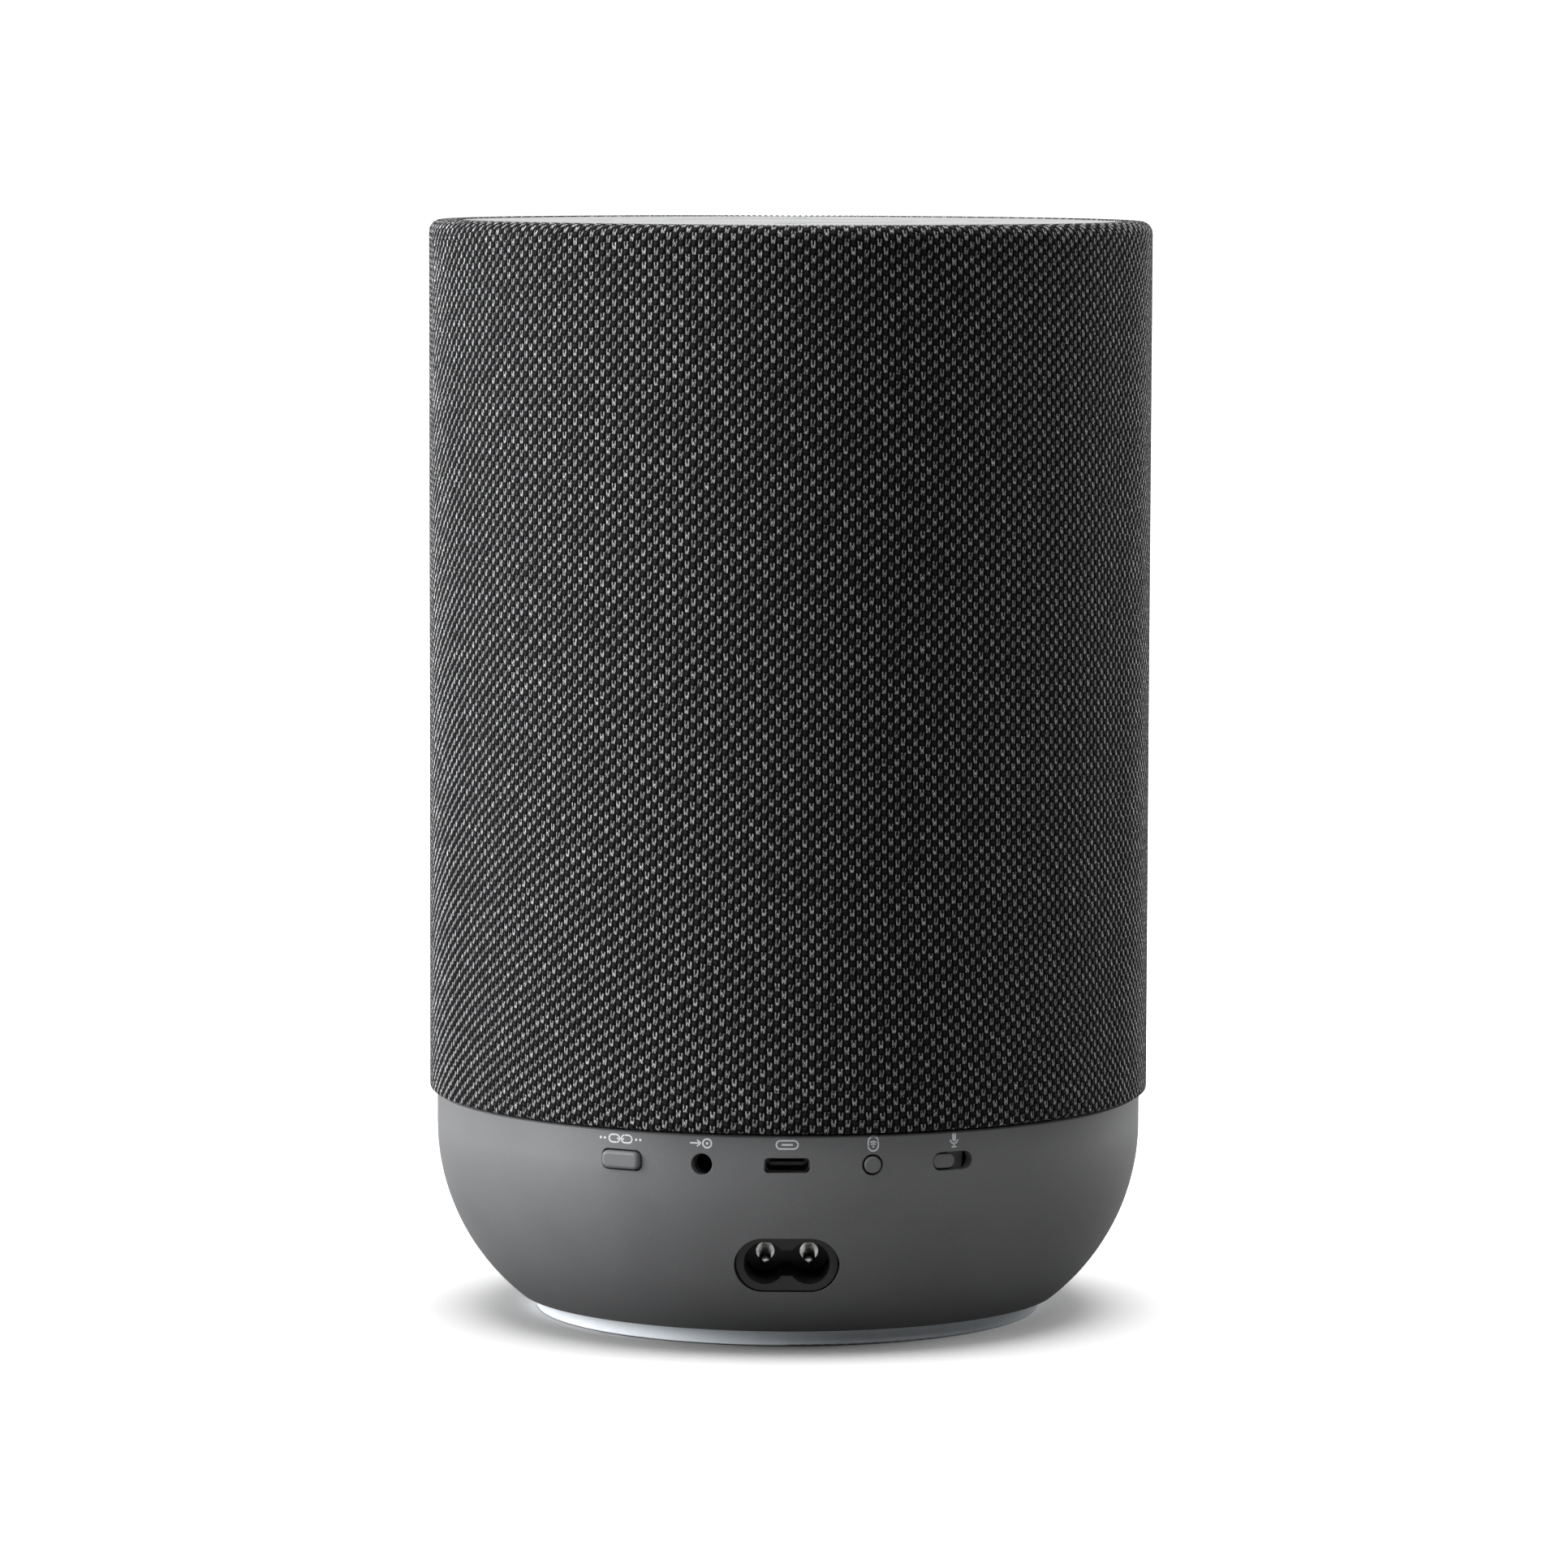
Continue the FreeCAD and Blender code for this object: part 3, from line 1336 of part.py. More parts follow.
def make_grille():
    """Slotted cage that holds the fabric in shape."""
    body = new_body("grille_frame")
    inner, outer, flange = size["grille_inner"], size["grille_outer"], size["grille_flange"]
    low, top = size["grille_bottom"], size["total_height"] - size["fabric_thickness"] - 0.1
    rounding = size["rim_rounding"] - size["fabric_thickness"]
    add_revolution(
        body,
        "grille_turn",
        [(flange, low), (outer, low), (outer, top - rounding), (outer - rounding, top),
         (flange, top), (flange, top - 2.0), (inner, top - 2.0), (inner, low + 1.6),
         (flange, low + 1.6)],
        {2: rounding},
    )
    width, tall = size["grille_slot_width"], size["grille_slot_height"]
    rows = int(SIZES["slot_rows"])
    pitch = (top - low - 12.0) / rows
    for number in range(rows):
        slot = new_sketch(body, "grille_slot_%d" % (number + 1), "XZ_Plane", size["cut_start"])
        pill_height = low + 6.0 + pitch * (number + 0.5)
        rounded_rectangle(slot, width, tall, width * 0.3, 0.0, pill_height)
        add_pattern(body, add_pocket(body, slot, 14.0), SIZES["slot_columns"])
    finished(body, "grille_frame")


def make_fabric():
    """Knitted sleeve stretched over the grille, wrapped round its top and bottom edges."""
    outer, skin = size["fabric_radius"], size["fabric_thickness"]
    low, top = size["base_top"] + size["seam_gap"], size["total_height"]
    rounding = size["rim_rounding"]
    inner = outer - skin
    lip = size["panel_radius"] + 0.3
    turned(
        "fabric_sleeve",
        [(outer - 2.4, low), (outer - skin, low), (outer, low + skin), (outer, top - rounding),
         (outer - rounding, top), (lip, top), (lip, top - skin),
         (outer - rounding, top - skin), (inner, top - rounding), (inner, low + skin),
         (outer - 2.4, low + skin)],
        {1: skin, 3: rounding, 7: -(rounding - skin)},
    )


# --- leads ------------------------------------------------------------------------------------


def make_leads():
    """Flat lead to the touch board, speaker lead and the grommet that seals it."""
    low = size["frame_top"]
    gap = size["cabinet_radius"] + 0.6
    finished(box("touch_ribbon", 12.0, 0.3, size["deflector_top"] - low, 0.0, gap, low),
             "touch_ribbon")
    board_top = size["main_board_bottom"] + size["board_thickness"]
    lead = rod("speaker_lead", 0.9, size["spider_height"] - 3.0 - board_top, 0.0, 32.0, board_top)
    finished(lead, "speaker_lead")
    bottom = size["cabinet_bottom"]
    wall = size["cabinet_wall"]
    neck = rod("grommet_neck", 2.9, wall + 1.4, 0.0, 32.0, bottom - 0.2)
    rim = rod("grommet_rim", 4.4, 1.2, 0.0, 32.0, bottom + wall + 0.01)
    bore = rod("grommet_bore", 0.95, wall + 3.0, 0.0, 32.0, bottom - 1.0)
    finished(cut("grommet", fuse("grommet_solid", neck, rim), bore), "lead_grommet")


def check_everything():
    """Stop if any object failed or any piece has no valid shape."""
    document.recompute()
    for item in document.Objects:
        if any(word in item.State for word in ("Invalid", "Error")):
            raise RuntimeError("%s failed: %s" % (item.Name, item.State))
    for item in pieces:
        if item.Shape.isNull() or not item.Shape.isValid():
            raise RuntimeError("%s has no valid shape" % item.Label)
        if any(solid.Volume <= 0 for solid in item.Shape.Solids):
            raise RuntimeError("%s is inside out" % item.Label)


def write_pieces():
    os.makedirs("parts", exist_ok=True)
    for item in pieces:
        item.Shape.exportStep("parts/%s.step" % item.Label)
    print("%d pieces written" % len(pieces))


make_foot()
make_light_ring()
make_base_plate()
make_lights()
make_base_shell()
make_connect_button()
make_wireless_button()
make_mic_slider()
make_switches()
make_aux_jack()
make_usb_port()
make_inlet()
make_power_board()
make_main_board()
make_io_board()
make_mid_frame()
tube("cabinet_gasket", size["gasket_inner"], size["gasket_outer"], size["frame_top"],
     size["cabinet_bottom"])
make_cabinet()
make_radiators()
make_baffle()
make_woofer()
make_deflector()
make_tweeters()
make_top_carrier()
make_screws()
make_touch_parts()
make_top_panel()
make_grille()
make_fabric()
make_leads()
check_everything()
write_pieces()
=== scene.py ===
"""Smart speaker: the looks of a fabric-covered speaker on a bowl-shaped base.

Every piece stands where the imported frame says, in metres, +Z up. The row of ports faces -Y.
"""

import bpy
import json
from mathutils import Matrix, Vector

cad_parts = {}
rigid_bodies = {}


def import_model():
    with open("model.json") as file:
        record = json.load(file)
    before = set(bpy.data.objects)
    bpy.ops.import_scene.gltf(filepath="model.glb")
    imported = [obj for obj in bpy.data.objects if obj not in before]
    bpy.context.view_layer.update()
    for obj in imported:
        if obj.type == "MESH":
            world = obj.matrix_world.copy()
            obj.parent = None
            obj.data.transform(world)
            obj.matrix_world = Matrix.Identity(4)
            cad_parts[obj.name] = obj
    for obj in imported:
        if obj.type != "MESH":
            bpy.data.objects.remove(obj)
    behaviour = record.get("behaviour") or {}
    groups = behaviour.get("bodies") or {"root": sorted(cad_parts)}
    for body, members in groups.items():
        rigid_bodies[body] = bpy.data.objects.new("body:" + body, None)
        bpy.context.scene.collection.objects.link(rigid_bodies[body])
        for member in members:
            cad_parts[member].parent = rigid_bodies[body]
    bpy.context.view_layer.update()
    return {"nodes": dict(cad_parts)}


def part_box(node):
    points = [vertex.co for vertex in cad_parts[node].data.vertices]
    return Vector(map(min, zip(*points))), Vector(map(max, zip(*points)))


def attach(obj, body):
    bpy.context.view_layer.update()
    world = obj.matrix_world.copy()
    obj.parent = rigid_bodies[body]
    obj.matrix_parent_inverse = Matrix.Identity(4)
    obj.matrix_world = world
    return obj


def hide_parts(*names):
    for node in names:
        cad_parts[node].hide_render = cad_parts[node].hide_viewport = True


bl_info = {
    "name": "Fabric smart speaker",
    "version": (1, 0, 0),
    "blender": (4, 5, 0),
    "location": "View3D > Sidebar > Speaker",
    "description": "Builds the knitted sleeve, marks, finishes and studio of a smart speaker",
    "category": "Object",
}

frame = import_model()

import json
import math

import bmesh
import bpy
from bpy.props import FloatProperty, FloatVectorProperty, IntProperty, PointerProperty
from mathutils import Matrix, Vector

MM = 0.001


def node_reach(node):
    """The largest radius, the lowest and the highest point of a turned CAD node."""
    low, high = (Vector(corner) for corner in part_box(node))
    return (high.x - low.x) / 2, low.z, high.z


SLEEVE_RADIUS, SLEEVE_LOW, SLEEVE_HIGH = node_reach("fabric_sleeve")
PANEL_RADIUS, _, PANEL_TOP = node_reach("top_panel")
BASE_RADIUS, _, BASE_TOP = node_reach("base_shell")

# the knit: how its columns and rows lie round the sleeve
FAN = 0.045            # how far the columns spread towards the lower edge, in radians
SIDE_PACKING = 0.20    # share by which the rows lie closer at the sides than at the ports
CLIMB = 18             # rows that a course climbs in one turn
SUNK = 0.7             # share of the relief that lies below the CAD sleeve's surface
LOW_ROUND = 0.6 * MM   # radius of the lower edge
RIM_GAP = 0.3 * MM     # from the knit's inner edge to the touch panel
RIM_TUCK = 1.2 * MM    # how far the knit goes down beside the touch panel

# the printed marks
PORT_STEP = math.radians(13.45)    # angle from one port to the next
MARK_START = 0.5 * MM              # how far off the surface a mark stands before it is laid on
MARK_REACH = 3 * MM                # how far a mark may move to reach the surface

# the studio
FLOOR_SIZE = 14.0
LIGHT_AIM = (0.0, 0.0, 0.11)                 # middle of the speaker
BASE_LIGHT_TOP = BASE_TOP + 4 * MM           # pieces below this are lit as part of the base
CAMERA_TURNS = (-5.304, -0.154, 0.186)       # pitch, yaw and roll, in degrees


# --- settings -----------------------------------------------------------------------------------


def length(name, description, default):
    return FloatProperty(name=name, description=description, default=default, unit="LENGTH",
                         precision=5)


def colour(name, description, default):
    return FloatVectorProperty(name=name, description=description, default=default, size=3,
                               subtype="COLOR", min=0.0, max=1.0)


def share(name, description, default):
    return FloatProperty(name=name, description=description, default=default, min=0.0, max=1.0,
                         subtype="FACTOR")


class SpeakerKnitSettings(bpy.types.PropertyGroup):
    """Sizes and colours of the knitted sleeve."""

    columns: IntProperty(name="Columns", description="Stitch columns round the sleeve",
                         default=356, min=16)
    repeat: length("Repeat", "Height of one light and one dark stitch", 2.84 * MM)
    relief: length("Relief", "How far a stitch stands out of the groove beside it", 0.26 * MM)
    rim: length("Rim", "Radius of the rounded upper edge", 2.4 * MM)
    hem: length("Hem", "Width of the strip turned under the lower edge", 2.0 * MM)
    light_yarn: colour("Light yarn", "Colour of the bright filaments", (0.64, 0.64, 0.66))
    dark_yarn: colour("Dark yarn", "Colour of the dark stitches", (0.013, 0.013, 0.014))


class SpeakerBaseSettings(bpy.types.PropertyGroup):
    """Finishes of the base, its ports and its ring."""

    plastic: colour("Plastic", "Colour of the base moulding and its buttons",
                    (0.118, 0.120, 0.123))
    roughness: share("Roughness", "Roughness of the base moulding", 0.46)
    ring: colour("Ring", "Colour of the frosted light ring", (0.82, 0.87, 0.92))
    marks: colour("Marks", "Colour of the printed marks", (0.62, 0.64, 0.66))
    mark_height: length("Mark height", "Height of the middle of the printed marks", 42.9 * MM)
    mark_line: length("Mark line", "Width of a printed line", 0.30 * MM)
    film: length("Film", "Thickness of the ink", 0.02 * MM)


class SpeakerPanelSettings(bpy.types.PropertyGroup):
    """Sizes and colours of the touch panel and its marks."""

    panel: colour("Panel", "Colour of the touch panel", (0.035, 0.037, 0.040))
    marks: colour("Panel marks", "Colour of the marks on the panel", (0.45, 0.47, 0.50))
    mark_circle: length("Mark circle", "Radius on which the touch marks stand", 38.0 * MM)
    ring_radius: length("Ring radius", "Radius of the fine circle", 26.0 * MM)
    mark_line: length("Mark line", "Width of a printed line", 0.55 * MM)
    film: length("Film", "Thickness of the ink", 0.02 * MM)


class SpeakerStudioSettings(bpy.types.PropertyGroup):
    """Floor, lights and camera."""

    floor: colour("Floor", "Colour of the floor", (0.95, 0.95, 0.95))
    bounce: share("Bounce", "Share of the light that the floor throws on the speaker", 0.34)
    surround: share("Surround", "Brightness of the room before the speaker", 0.03)
    backdrop: FloatProperty(name="Backdrop", description="Brightness of the white backdrop",
                            default=0.85, min=0.0)
    aside: length("Aside", "How far the camera stands to the right of the axis", 2.85 * MM)
    left_light: FloatProperty(name="Left light", description="Power of the broad left light",
                              default=34.0, unit="POWER")
    right_rim: FloatProperty(name="Right rim", default=7.0, unit="POWER",
                             description="Power of the light behind on the right")
    left_rim: FloatProperty(name="Left rim", description="Power of the light behind on the left",
                            default=7.0, unit="POWER")
    base_light: FloatProperty(name="Base light", default=4.0, unit="POWER",
                              description="Power of the soft light on the base alone")
    top_light: FloatProperty(name="Top light", description="Strength of the light overhead",
                             default=3.0, min=0.0)
    left_floor: FloatProperty(name="Left floor light", default=24.0, unit="POWER",
                              description="Power of the low left light on the floor")
    right_floor: FloatProperty(name="Right floor light", default=20.0, unit="POWER",
                               description="Power of the low right light on the floor")
    distance: length("Distance", "Distance of the camera from the speaker's axis", 1.4432)
    height: length("Height", "Height of the camera", 0.2403)
    lens: FloatProperty(name="Lens", description="Focal length", default=164.55, unit="CAMERA")


# --- shader helpers -----------------------------------------------------------------------------


class Shader:
    """A node tree with short calls that add a node, fill its inputs and link it."""

    def __init__(self, tree):
        self.tree = tree
        self.column = 0

    def add(self, kind, inputs=None, output=0, **settings):
        """Add a node. inputs maps socket names or numbers to values or other sockets."""
        node = self.tree.nodes.new(kind)
        self.column += 1
        node.location = (self.column % 12 * 190, -(self.column // 12) * 260)
        for key, value in settings.items():
            setattr(node, key, value)
        for key, value in (inputs or {}).items():
            self.fill(node.inputs[key], value)
        return node.outputs[output]

    def fill(self, socket, value):
        if isinstance(value, bpy.types.NodeSocket):
            self.tree.links.new(value, socket)
        elif hasattr(value, "__len__") and len(value) == 3 and socket.type == "RGBA":
            socket.default_value = (*value, 1.0)
        else:
            socket.default_value = value

    def math(self, operation, first, second=0.0, third=None):
        inputs = {0: first, 1: second}
        if third is not None:
            inputs[2] = third
        return self.add("ShaderNodeMath", inputs, operation=operation)

    def ramp(self, value, low, high, start=0.0, end=1.0):
        """Smooth step of a value from low to high."""
        return self.add("ShaderNodeMapRange",
                        {"Value": value, "From Min": low, "From Max": high, "To Min": start,
                         "To Max": end}, interpolation_type="SMOOTHSTEP")

    def blend(self, factor, first, second):
        """Mix two colours."""
        node = self.tree.nodes.new("ShaderNodeMix")
        node.data_type = "RGBA"
        for number, value in ((0, factor), (6, first), (7, second)):
            self.fill(node.inputs[number], value)
        return node.outputs[2]

    def noise(self, vector, scale, detail=2.0, roughness=0.5, stretch=None):
        if stretch is not None:
            vector = self.add("ShaderNodeVectorMath", {0: vector, 1: stretch},
                              operation="MULTIPLY")
        return self.add("ShaderNodeTexNoise", {"Vector": vector, "Scale": scale,
                                               "Detail": detail, "Roughness": roughness})

    def bump(self, height, distance, strength=1.0, normal=None):
        inputs = {"Height": height, "Distance": distance, "Strength": strength}
        if normal is not None:
            inputs["Normal"] = normal
        return self.add("ShaderNodeBump", inputs)

    def group(self, name, inputs, output):
        node = self.tree.nodes.new("ShaderNodeGroup")
        node.node_tree = bpy.data.node_groups[name]
        for key, value in inputs.items():
            self.fill(node.inputs[key], value)
        return node.outputs if output is None else node.outputs[output]


def new_group(name, inputs, outputs):
    """An empty node group with named sockets; returns its Shader, inputs and output node."""
    tree = bpy.data.node_groups.new(name, "ShaderNodeTree")
    for socket, kind in inputs.items():
        tree.interface.new_socket(socket, in_out="INPUT", socket_type="NodeSocket" + kind)
    for socket, kind in outputs.items():
        tree.interface.new_socket(socket, in_out="OUTPUT", socket_type="NodeSocket" + kind)
    source = tree.nodes.new("NodeGroupInput")
    sink = tree.nodes.new("NodeGroupOutput")
    return Shader(tree), source.outputs, sink.inputs


def make_moulding_group():
    """Fine spark-eroded texture of a moulding: its height and a slight change of shade."""
    s, given, out = new_group("moulding_texture", {"Vector": "Vector", "Grain": "Float"},
                              {"Height": "Float", "Shade": "Float"})
    fine = s.noise(given["Vector"], given["Grain"], 3.0, 0.6)
    pits = s.add("ShaderNodeTexVoronoi", {"Vector": given["Vector"], "Scale": given["Grain"]})
    broad = s.noise(given["Vector"], 26.0, 3.0, 0.55)
    s.fill(out["Height"], s.math("MULTIPLY_ADD", pits, 0.5, fine))
    s.fill(out["Shade"], s.math("MULTIPLY_ADD", broad, 0.7, s.math("MULTIPLY", fine, 0.3)))


def make_edge_group():
    """Mask of edges rubbed by handling, from how far a rounded normal leaves the real one."""
    s, given, out = new_group("rubbed_edges", {"Vector": "Vector", "Width": "Float"},
                              {"Mask": "Float", "Normal": "Vector"})
    rounded = s.add("ShaderNodeBevel", {"Radius": given["Width"]}, samples=4)
    flat = s.add("ShaderNodeNewGeometry", output="Normal")
    aligned = s.add("ShaderNodeVectorMath", {0: rounded, 1: flat}, output="Value",
                    operation="DOT_PRODUCT")
    edge = s.ramp(aligned, 0.98, 0.72)
    patch = s.ramp(s.noise(given["Vector"], 420.0, 3.0), 0.42, 0.66)
    s.fill(out["Mask"], s.math("MULTIPLY", edge, patch))
    s.fill(out["Normal"], rounded)


def make_dust_group():
    """Sparse pale specks of dust."""
    s, given, out = new_group("dust_specks", {"Vector": "Vector", "Amount": "Float"},
                              {"Mask": "Float"})
    cells = s.add("ShaderNodeTexVoronoi", {"Vector": given["Vector"], "Scale": 900.0})
    chance = s.noise(given["Vector"], 160.0, 2.0)
    speck = s.ramp(cells, 0.16, 0.05)
    s.fill(out["Mask"], s.math("MULTIPLY", speck,
                               s.math("MULTIPLY", s.ramp(chance, 0.52, 0.7), given["Amount"])))


def make_stitch_group():
    """Half-drop lattice of light two-pronged stitches and dark round ones, in stitch units."""
    s, given, out = new_group("knit_stitches", {"Vector": "Vector"},
                              {"Light": "Float", "Dark": "Float", "Height": "Float",
                               "Fibre": "Float"})
    split = s.add("ShaderNodeSeparateXYZ", {0: given["Vector"]}).node.outputs
    wander = s.noise(given["Vector"], 0.8, 1.0, stretch=(0.3, 0.6, 0.0))
    across = s.math("MULTIPLY_ADD", s.math("SUBTRACT", wander, 0.5), 0.14, split[0])
    column = s.math("FLOOR", across)
    side = s.math("SUBTRACT", s.math("SUBTRACT", across, column), 0.5)
    dropped = s.math("MULTIPLY", s.math("FLOORED_MODULO", column, 2.0), 0.5)
    jitter = s.add("ShaderNodeTexWhiteNoise", {"W": column}, noise_dimensions="1D")
    along = s.math("ADD", s.math("ADD", split[1], dropped), s.math("MULTIPLY", jitter, 0.06))
    row = s.math("FLOOR", along)
    rise = s.math("SUBTRACT", along, row)
    cell = s.add("ShaderNodeCombineXYZ", {"X": column, "Y": row, "Z": 3.7})
    chance = s.add("ShaderNodeTexWhiteNoise", {"Vector": cell}, noise_dimensions="3D")
    tint = s.add("ShaderNodeSeparateColor", {0: chance.node.outputs["Color"]}).node.outputs
    loop = s.math("DIVIDE", rise, 0.60)
    lean = s.math("MULTIPLY", s.math("SUBTRACT", tint[0], 0.9), 0.26)
    centred = s.math("MULTIPLY_ADD", s.math("SUBTRACT", loop, 0.5), lean, side)
    away = s.math("ABSOLUTE", centred)
    spread = s.math("MULTIPLY_ADD", s.ramp(loop, 0.0, 0.7), 0.08, 0.17)
    prongs = s.ramp(s.math("ABSOLUTE", s.math("SUBTRACT", away, spread)), 0.155, 0.045)
    ends = s.math("MULTIPLY", s.ramp(loop, 0.0, 0.14), s.ramp(loop, 1.0, 0.84))
    tie_at = s.math("MULTIPLY_ADD", tint[1], 0.30, 0.20)
    tie_up = s.math("MULTIPLY", s.math("SUBTRACT", loop, tie_at), 1.15)
    tie_far = s.math("SQRT", s.math("MULTIPLY_ADD", centred, centred,
                                    s.math("MULTIPLY", tie_up, tie_up)))
    tie = s.math("MULTIPLY", s.ramp(tie_far, 0.30, 0.10), s.ramp(tint[2], 0.0, 0.35, 0.5, 1.0))
    shape = s.math("MAXIMUM", s.math("MULTIPLY", prongs, ends), tie)
    fibre = s.noise(given["Vector"], 2.6, 3.0, 0.7, stretch=(2.4, 1.7, 1.0))
    broken = s.ramp(fibre, 0.36, 0.62, 0.16, 1.0)
    bright = s.math("MULTIPLY_ADD", s.math("POWER", chance, 1.3), 0.45, 0.55)
    s.fill(out["Light"], s.math("MULTIPLY", s.math("MULTIPLY", shape, broken), bright))
    bead_up = s.math("MULTIPLY", s.math("SUBTRACT", rise, 0.80), 2.0)
    bead_far = s.math("SQRT", s.math("MULTIPLY_ADD", side, side,
                                     s.math("MULTIPLY", bead_up, bead_up)))
    bead = s.ramp(bead_far, 0.50, 0.10)
    s.fill(out["Dark"], bead)
    groove = s.ramp(s.math("ABSOLUTE", side), 0.5, 0.30)
    bumps = s.math("MAXIMUM", s.math("MULTIPLY", shape, 0.8), bead)
    relief = s.math("MULTIPLY", groove, s.math("MULTIPLY_ADD", bumps, 0.85, 0.15))
    s.fill(out["Height"], s.math("MULTIPLY_ADD", fibre, 0.18, relief))
    s.fill(out["Fibre"], fibre)


def make_shared_groups():
    make_moulding_group()
    make_edge_group()
    make_dust_group()
    make_stitch_group()


def new_material(name):
    """A material with a Principled shader; returns it, its Shader and the shader's inputs."""
    material = bpy.data.materials.new(name)
    material.use_nodes = True
    principled = material.node_tree.nodes["Principled BSDF"]
    return material, Shader(material.node_tree), principled.inputs


def object_coordinates(s):
    return s.add("ShaderNodeTexCoord", output="Object")


def knit_material(knit):
    """Mottled knit: bright filament prongs over near-black stitches, painted shade in the gaps
    between them, and a soft sheen.
    """
    material, s, sockets = new_material("knit")
    stitches = s.add("ShaderNodeUVMap", uv_map="stitches")
    parts = s.group("knit_stitches", {"Vector": stitches}, None)
    # Outside the dark stitches and light prongs the dark yarn is darkened to a quarter: painted
    # shade in the gaps between stitches.
    painted_gap_shade = s.blend(parts["Dark"], tuple(c * 0.25 for c in knit.dark_yarn), knit.dark_yarn)
    bright = s.blend(s.ramp(parts["Fibre"], 0.4, 0.6), tuple(c * 0.75 for c in knit.light_yarn),
                     knit.light_yarn)
    s.fill(sockets["Base Color"], s.blend(parts["Light"], painted_gap_shade, bright))
    s.fill(sockets["Roughness"], s.ramp(parts["Light"], 0.0, 1.0, 0.80, 0.52))
    s.fill(sockets["Normal"], s.bump(parts["Height"], 0.34 * MM, 0.9))
    sockets["Specular IOR Level"].default_value = 0.08
    sockets["Sheen Weight"].default_value = 0.16
    sockets["Sheen Roughness"].default_value = 0.18
    return material


def moulded_material(name, tint, roughness, grain=2600.0, depth=0.018, edge=0.25, dust=0.5,
                     metallic=0.0, specular=0.5):
    """Moulded or formed part: fine texture, rounded and rubbed edges, slight dust."""
    material, s, sockets = new_material(name)
    place = object_coordinates(s)
    texture = s.group("moulding_texture", {"Vector": place, "Grain": grain}, None)
    edges = s.group("rubbed_edges", {"Vector": place, "Width": edge * MM}, None)
    specks = s.group("dust_specks", {"Vector": place, "Amount": dust}, "Mask")
    darker = tuple(c * 0.90 for c in tint)
    lighter = tuple(min(1.0, c * 1.09) for c in tint)
    worn = tuple(min(1.0, c * 1.5 + 0.01) for c in tint)
    body = s.blend(s.ramp(texture["Shade"], 0.35, 0.65), darker, lighter)
    rubbed = s.blend(s.math("MULTIPLY", edges["Mask"], 0.45), body, worn)
    s.fill(sockets["Base Color"], s.blend(s.math("MULTIPLY", specks, 0.35), rubbed,
                                          (0.5, 0.5, 0.49)))
    s.fill(sockets["Roughness"], s.ramp(texture["Shade"], 0.3, 0.7, roughness - 0.05,
                                        roughness + 0.06))
    s.fill(sockets["Normal"], s.bump(texture["Height"], depth * MM, 0.7, edges["Normal"]))
    sockets["Metallic"].default_value = metallic
    sockets["Specular IOR Level"].default_value = specular
    return material


def pin_material():
    """Polished plated pin with fine drawing lines along it."""
    material, s, sockets = new_material("plated_pin")
    place = object_coordinates(s)
    lines = s.noise(place, 900.0, 3.0, 0.6, stretch=(1.0, 0.06, 1.0))
    s.fill(sockets["Base Color"], s.blend(lines, (0.66, 0.66, 0.64), (0.83, 0.83, 0.81)))
    s.fill(sockets["Roughness"], s.ramp(lines, 0.3, 0.7, 0.16, 0.30))
    s.fill(sockets["Normal"], s.bump(lines, 0.006 * MM, 0.5))
    sockets["Metallic"].default_value = 1.0
    return material


def ring_material(base):
    """Frosted light guide: milky plastic with a soft skin and faint cloudiness."""
    material, s, sockets = new_material("frosted_ring")
    place = object_coordinates(s)
    cloud = s.noise(place, 60.0, 4.0, 0.6)
    frost = s.noise(place, 5200.0, 2.0, 0.5)
    edges = s.group("rubbed_edges", {"Vector": place, "Width": 0.3 * MM}, None)
    s.fill(sockets["Base Color"], s.blend(s.ramp(cloud, 0.3, 0.7),
                                          tuple(c * 0.92 for c in base.ring), base.ring))
    s.fill(sockets["Roughness"], s.ramp(frost, 0.3, 0.7, 0.26, 0.36))
    s.fill(sockets["Normal"], s.bump(frost, 0.005 * MM, 0.5, edges["Normal"]))
    sockets["Subsurface Weight"].default_value = 0.15
    sockets["Subsurface Radius"].default_value = (1.5 * MM, 1.5 * MM, 1.6 * MM)
    sockets["Specular IOR Level"].default_value = 0.6
    return material


def panel_material(panel):
    """Satin touch panel: even dark skin, faint wipe marks, finger smudges and dust."""
    material, s, sockets = new_material("touch_panel_skin")
    place = object_coordinates(s)
    smudge = s.noise(place, 55.0, 5.0, 0.62)
    wipes = s.noise(place, 120.0, 3.0, 0.6, stretch=(0.12, 1.0, 1.0))
    fine = s.noise(place, 5200.0, 2.0)
    edges = s.group("rubbed_edges", {"Vector": place, "Width": 0.2 * MM}, None)
    specks = s.group("dust_specks", {"Vector": place, "Amount": 0.8}, "Mask")
    skin = s.blend(s.ramp(smudge, 0.35, 0.65), tuple(c * 0.88 for c in panel.panel),
                   panel.panel)
    s.fill(sockets["Base Color"], s.blend(s.math("MULTIPLY", specks, 0.5), skin,
                                          (0.5, 0.5, 0.5)))
    mixed = s.math("MULTIPLY_ADD", wipes, 0.4, s.math("MULTIPLY", smudge, 0.6))
    s.fill(sockets["Roughness"], s.ramp(mixed, 0.35, 0.65, 0.12, 0.22))
    s.fill(sockets["Normal"], s.bump(fine, 0.004 * MM, 0.5, edges["Normal"]))
    sockets["Coat Weight"].default_value = 0.6
    sockets["Coat Roughness"].default_value = 0.15
    return material


def mark_material(name, tint):
    """Pad-printed ink: slightly uneven cover over the texture below it."""
    material, s, sockets = new_material(name)
    place = object_coordinates(s)
    cover = s.noise(place, 3000.0, 3.0, 0.6)
    film = s.noise(place, 240.0, 2.0)
    ink = s.blend(s.ramp(cover, 0.3, 0.6), tuple(c * 0.8 for c in tint), tint)
    s.fill(sockets["Base Color"], ink)
    s.fill(sockets["Roughness"], s.ramp(film, 0.3, 0.7, 0.45, 0.6))
    s.fill(sockets["Normal"], s.bump(cover, 0.006 * MM, 0.5))
    return material


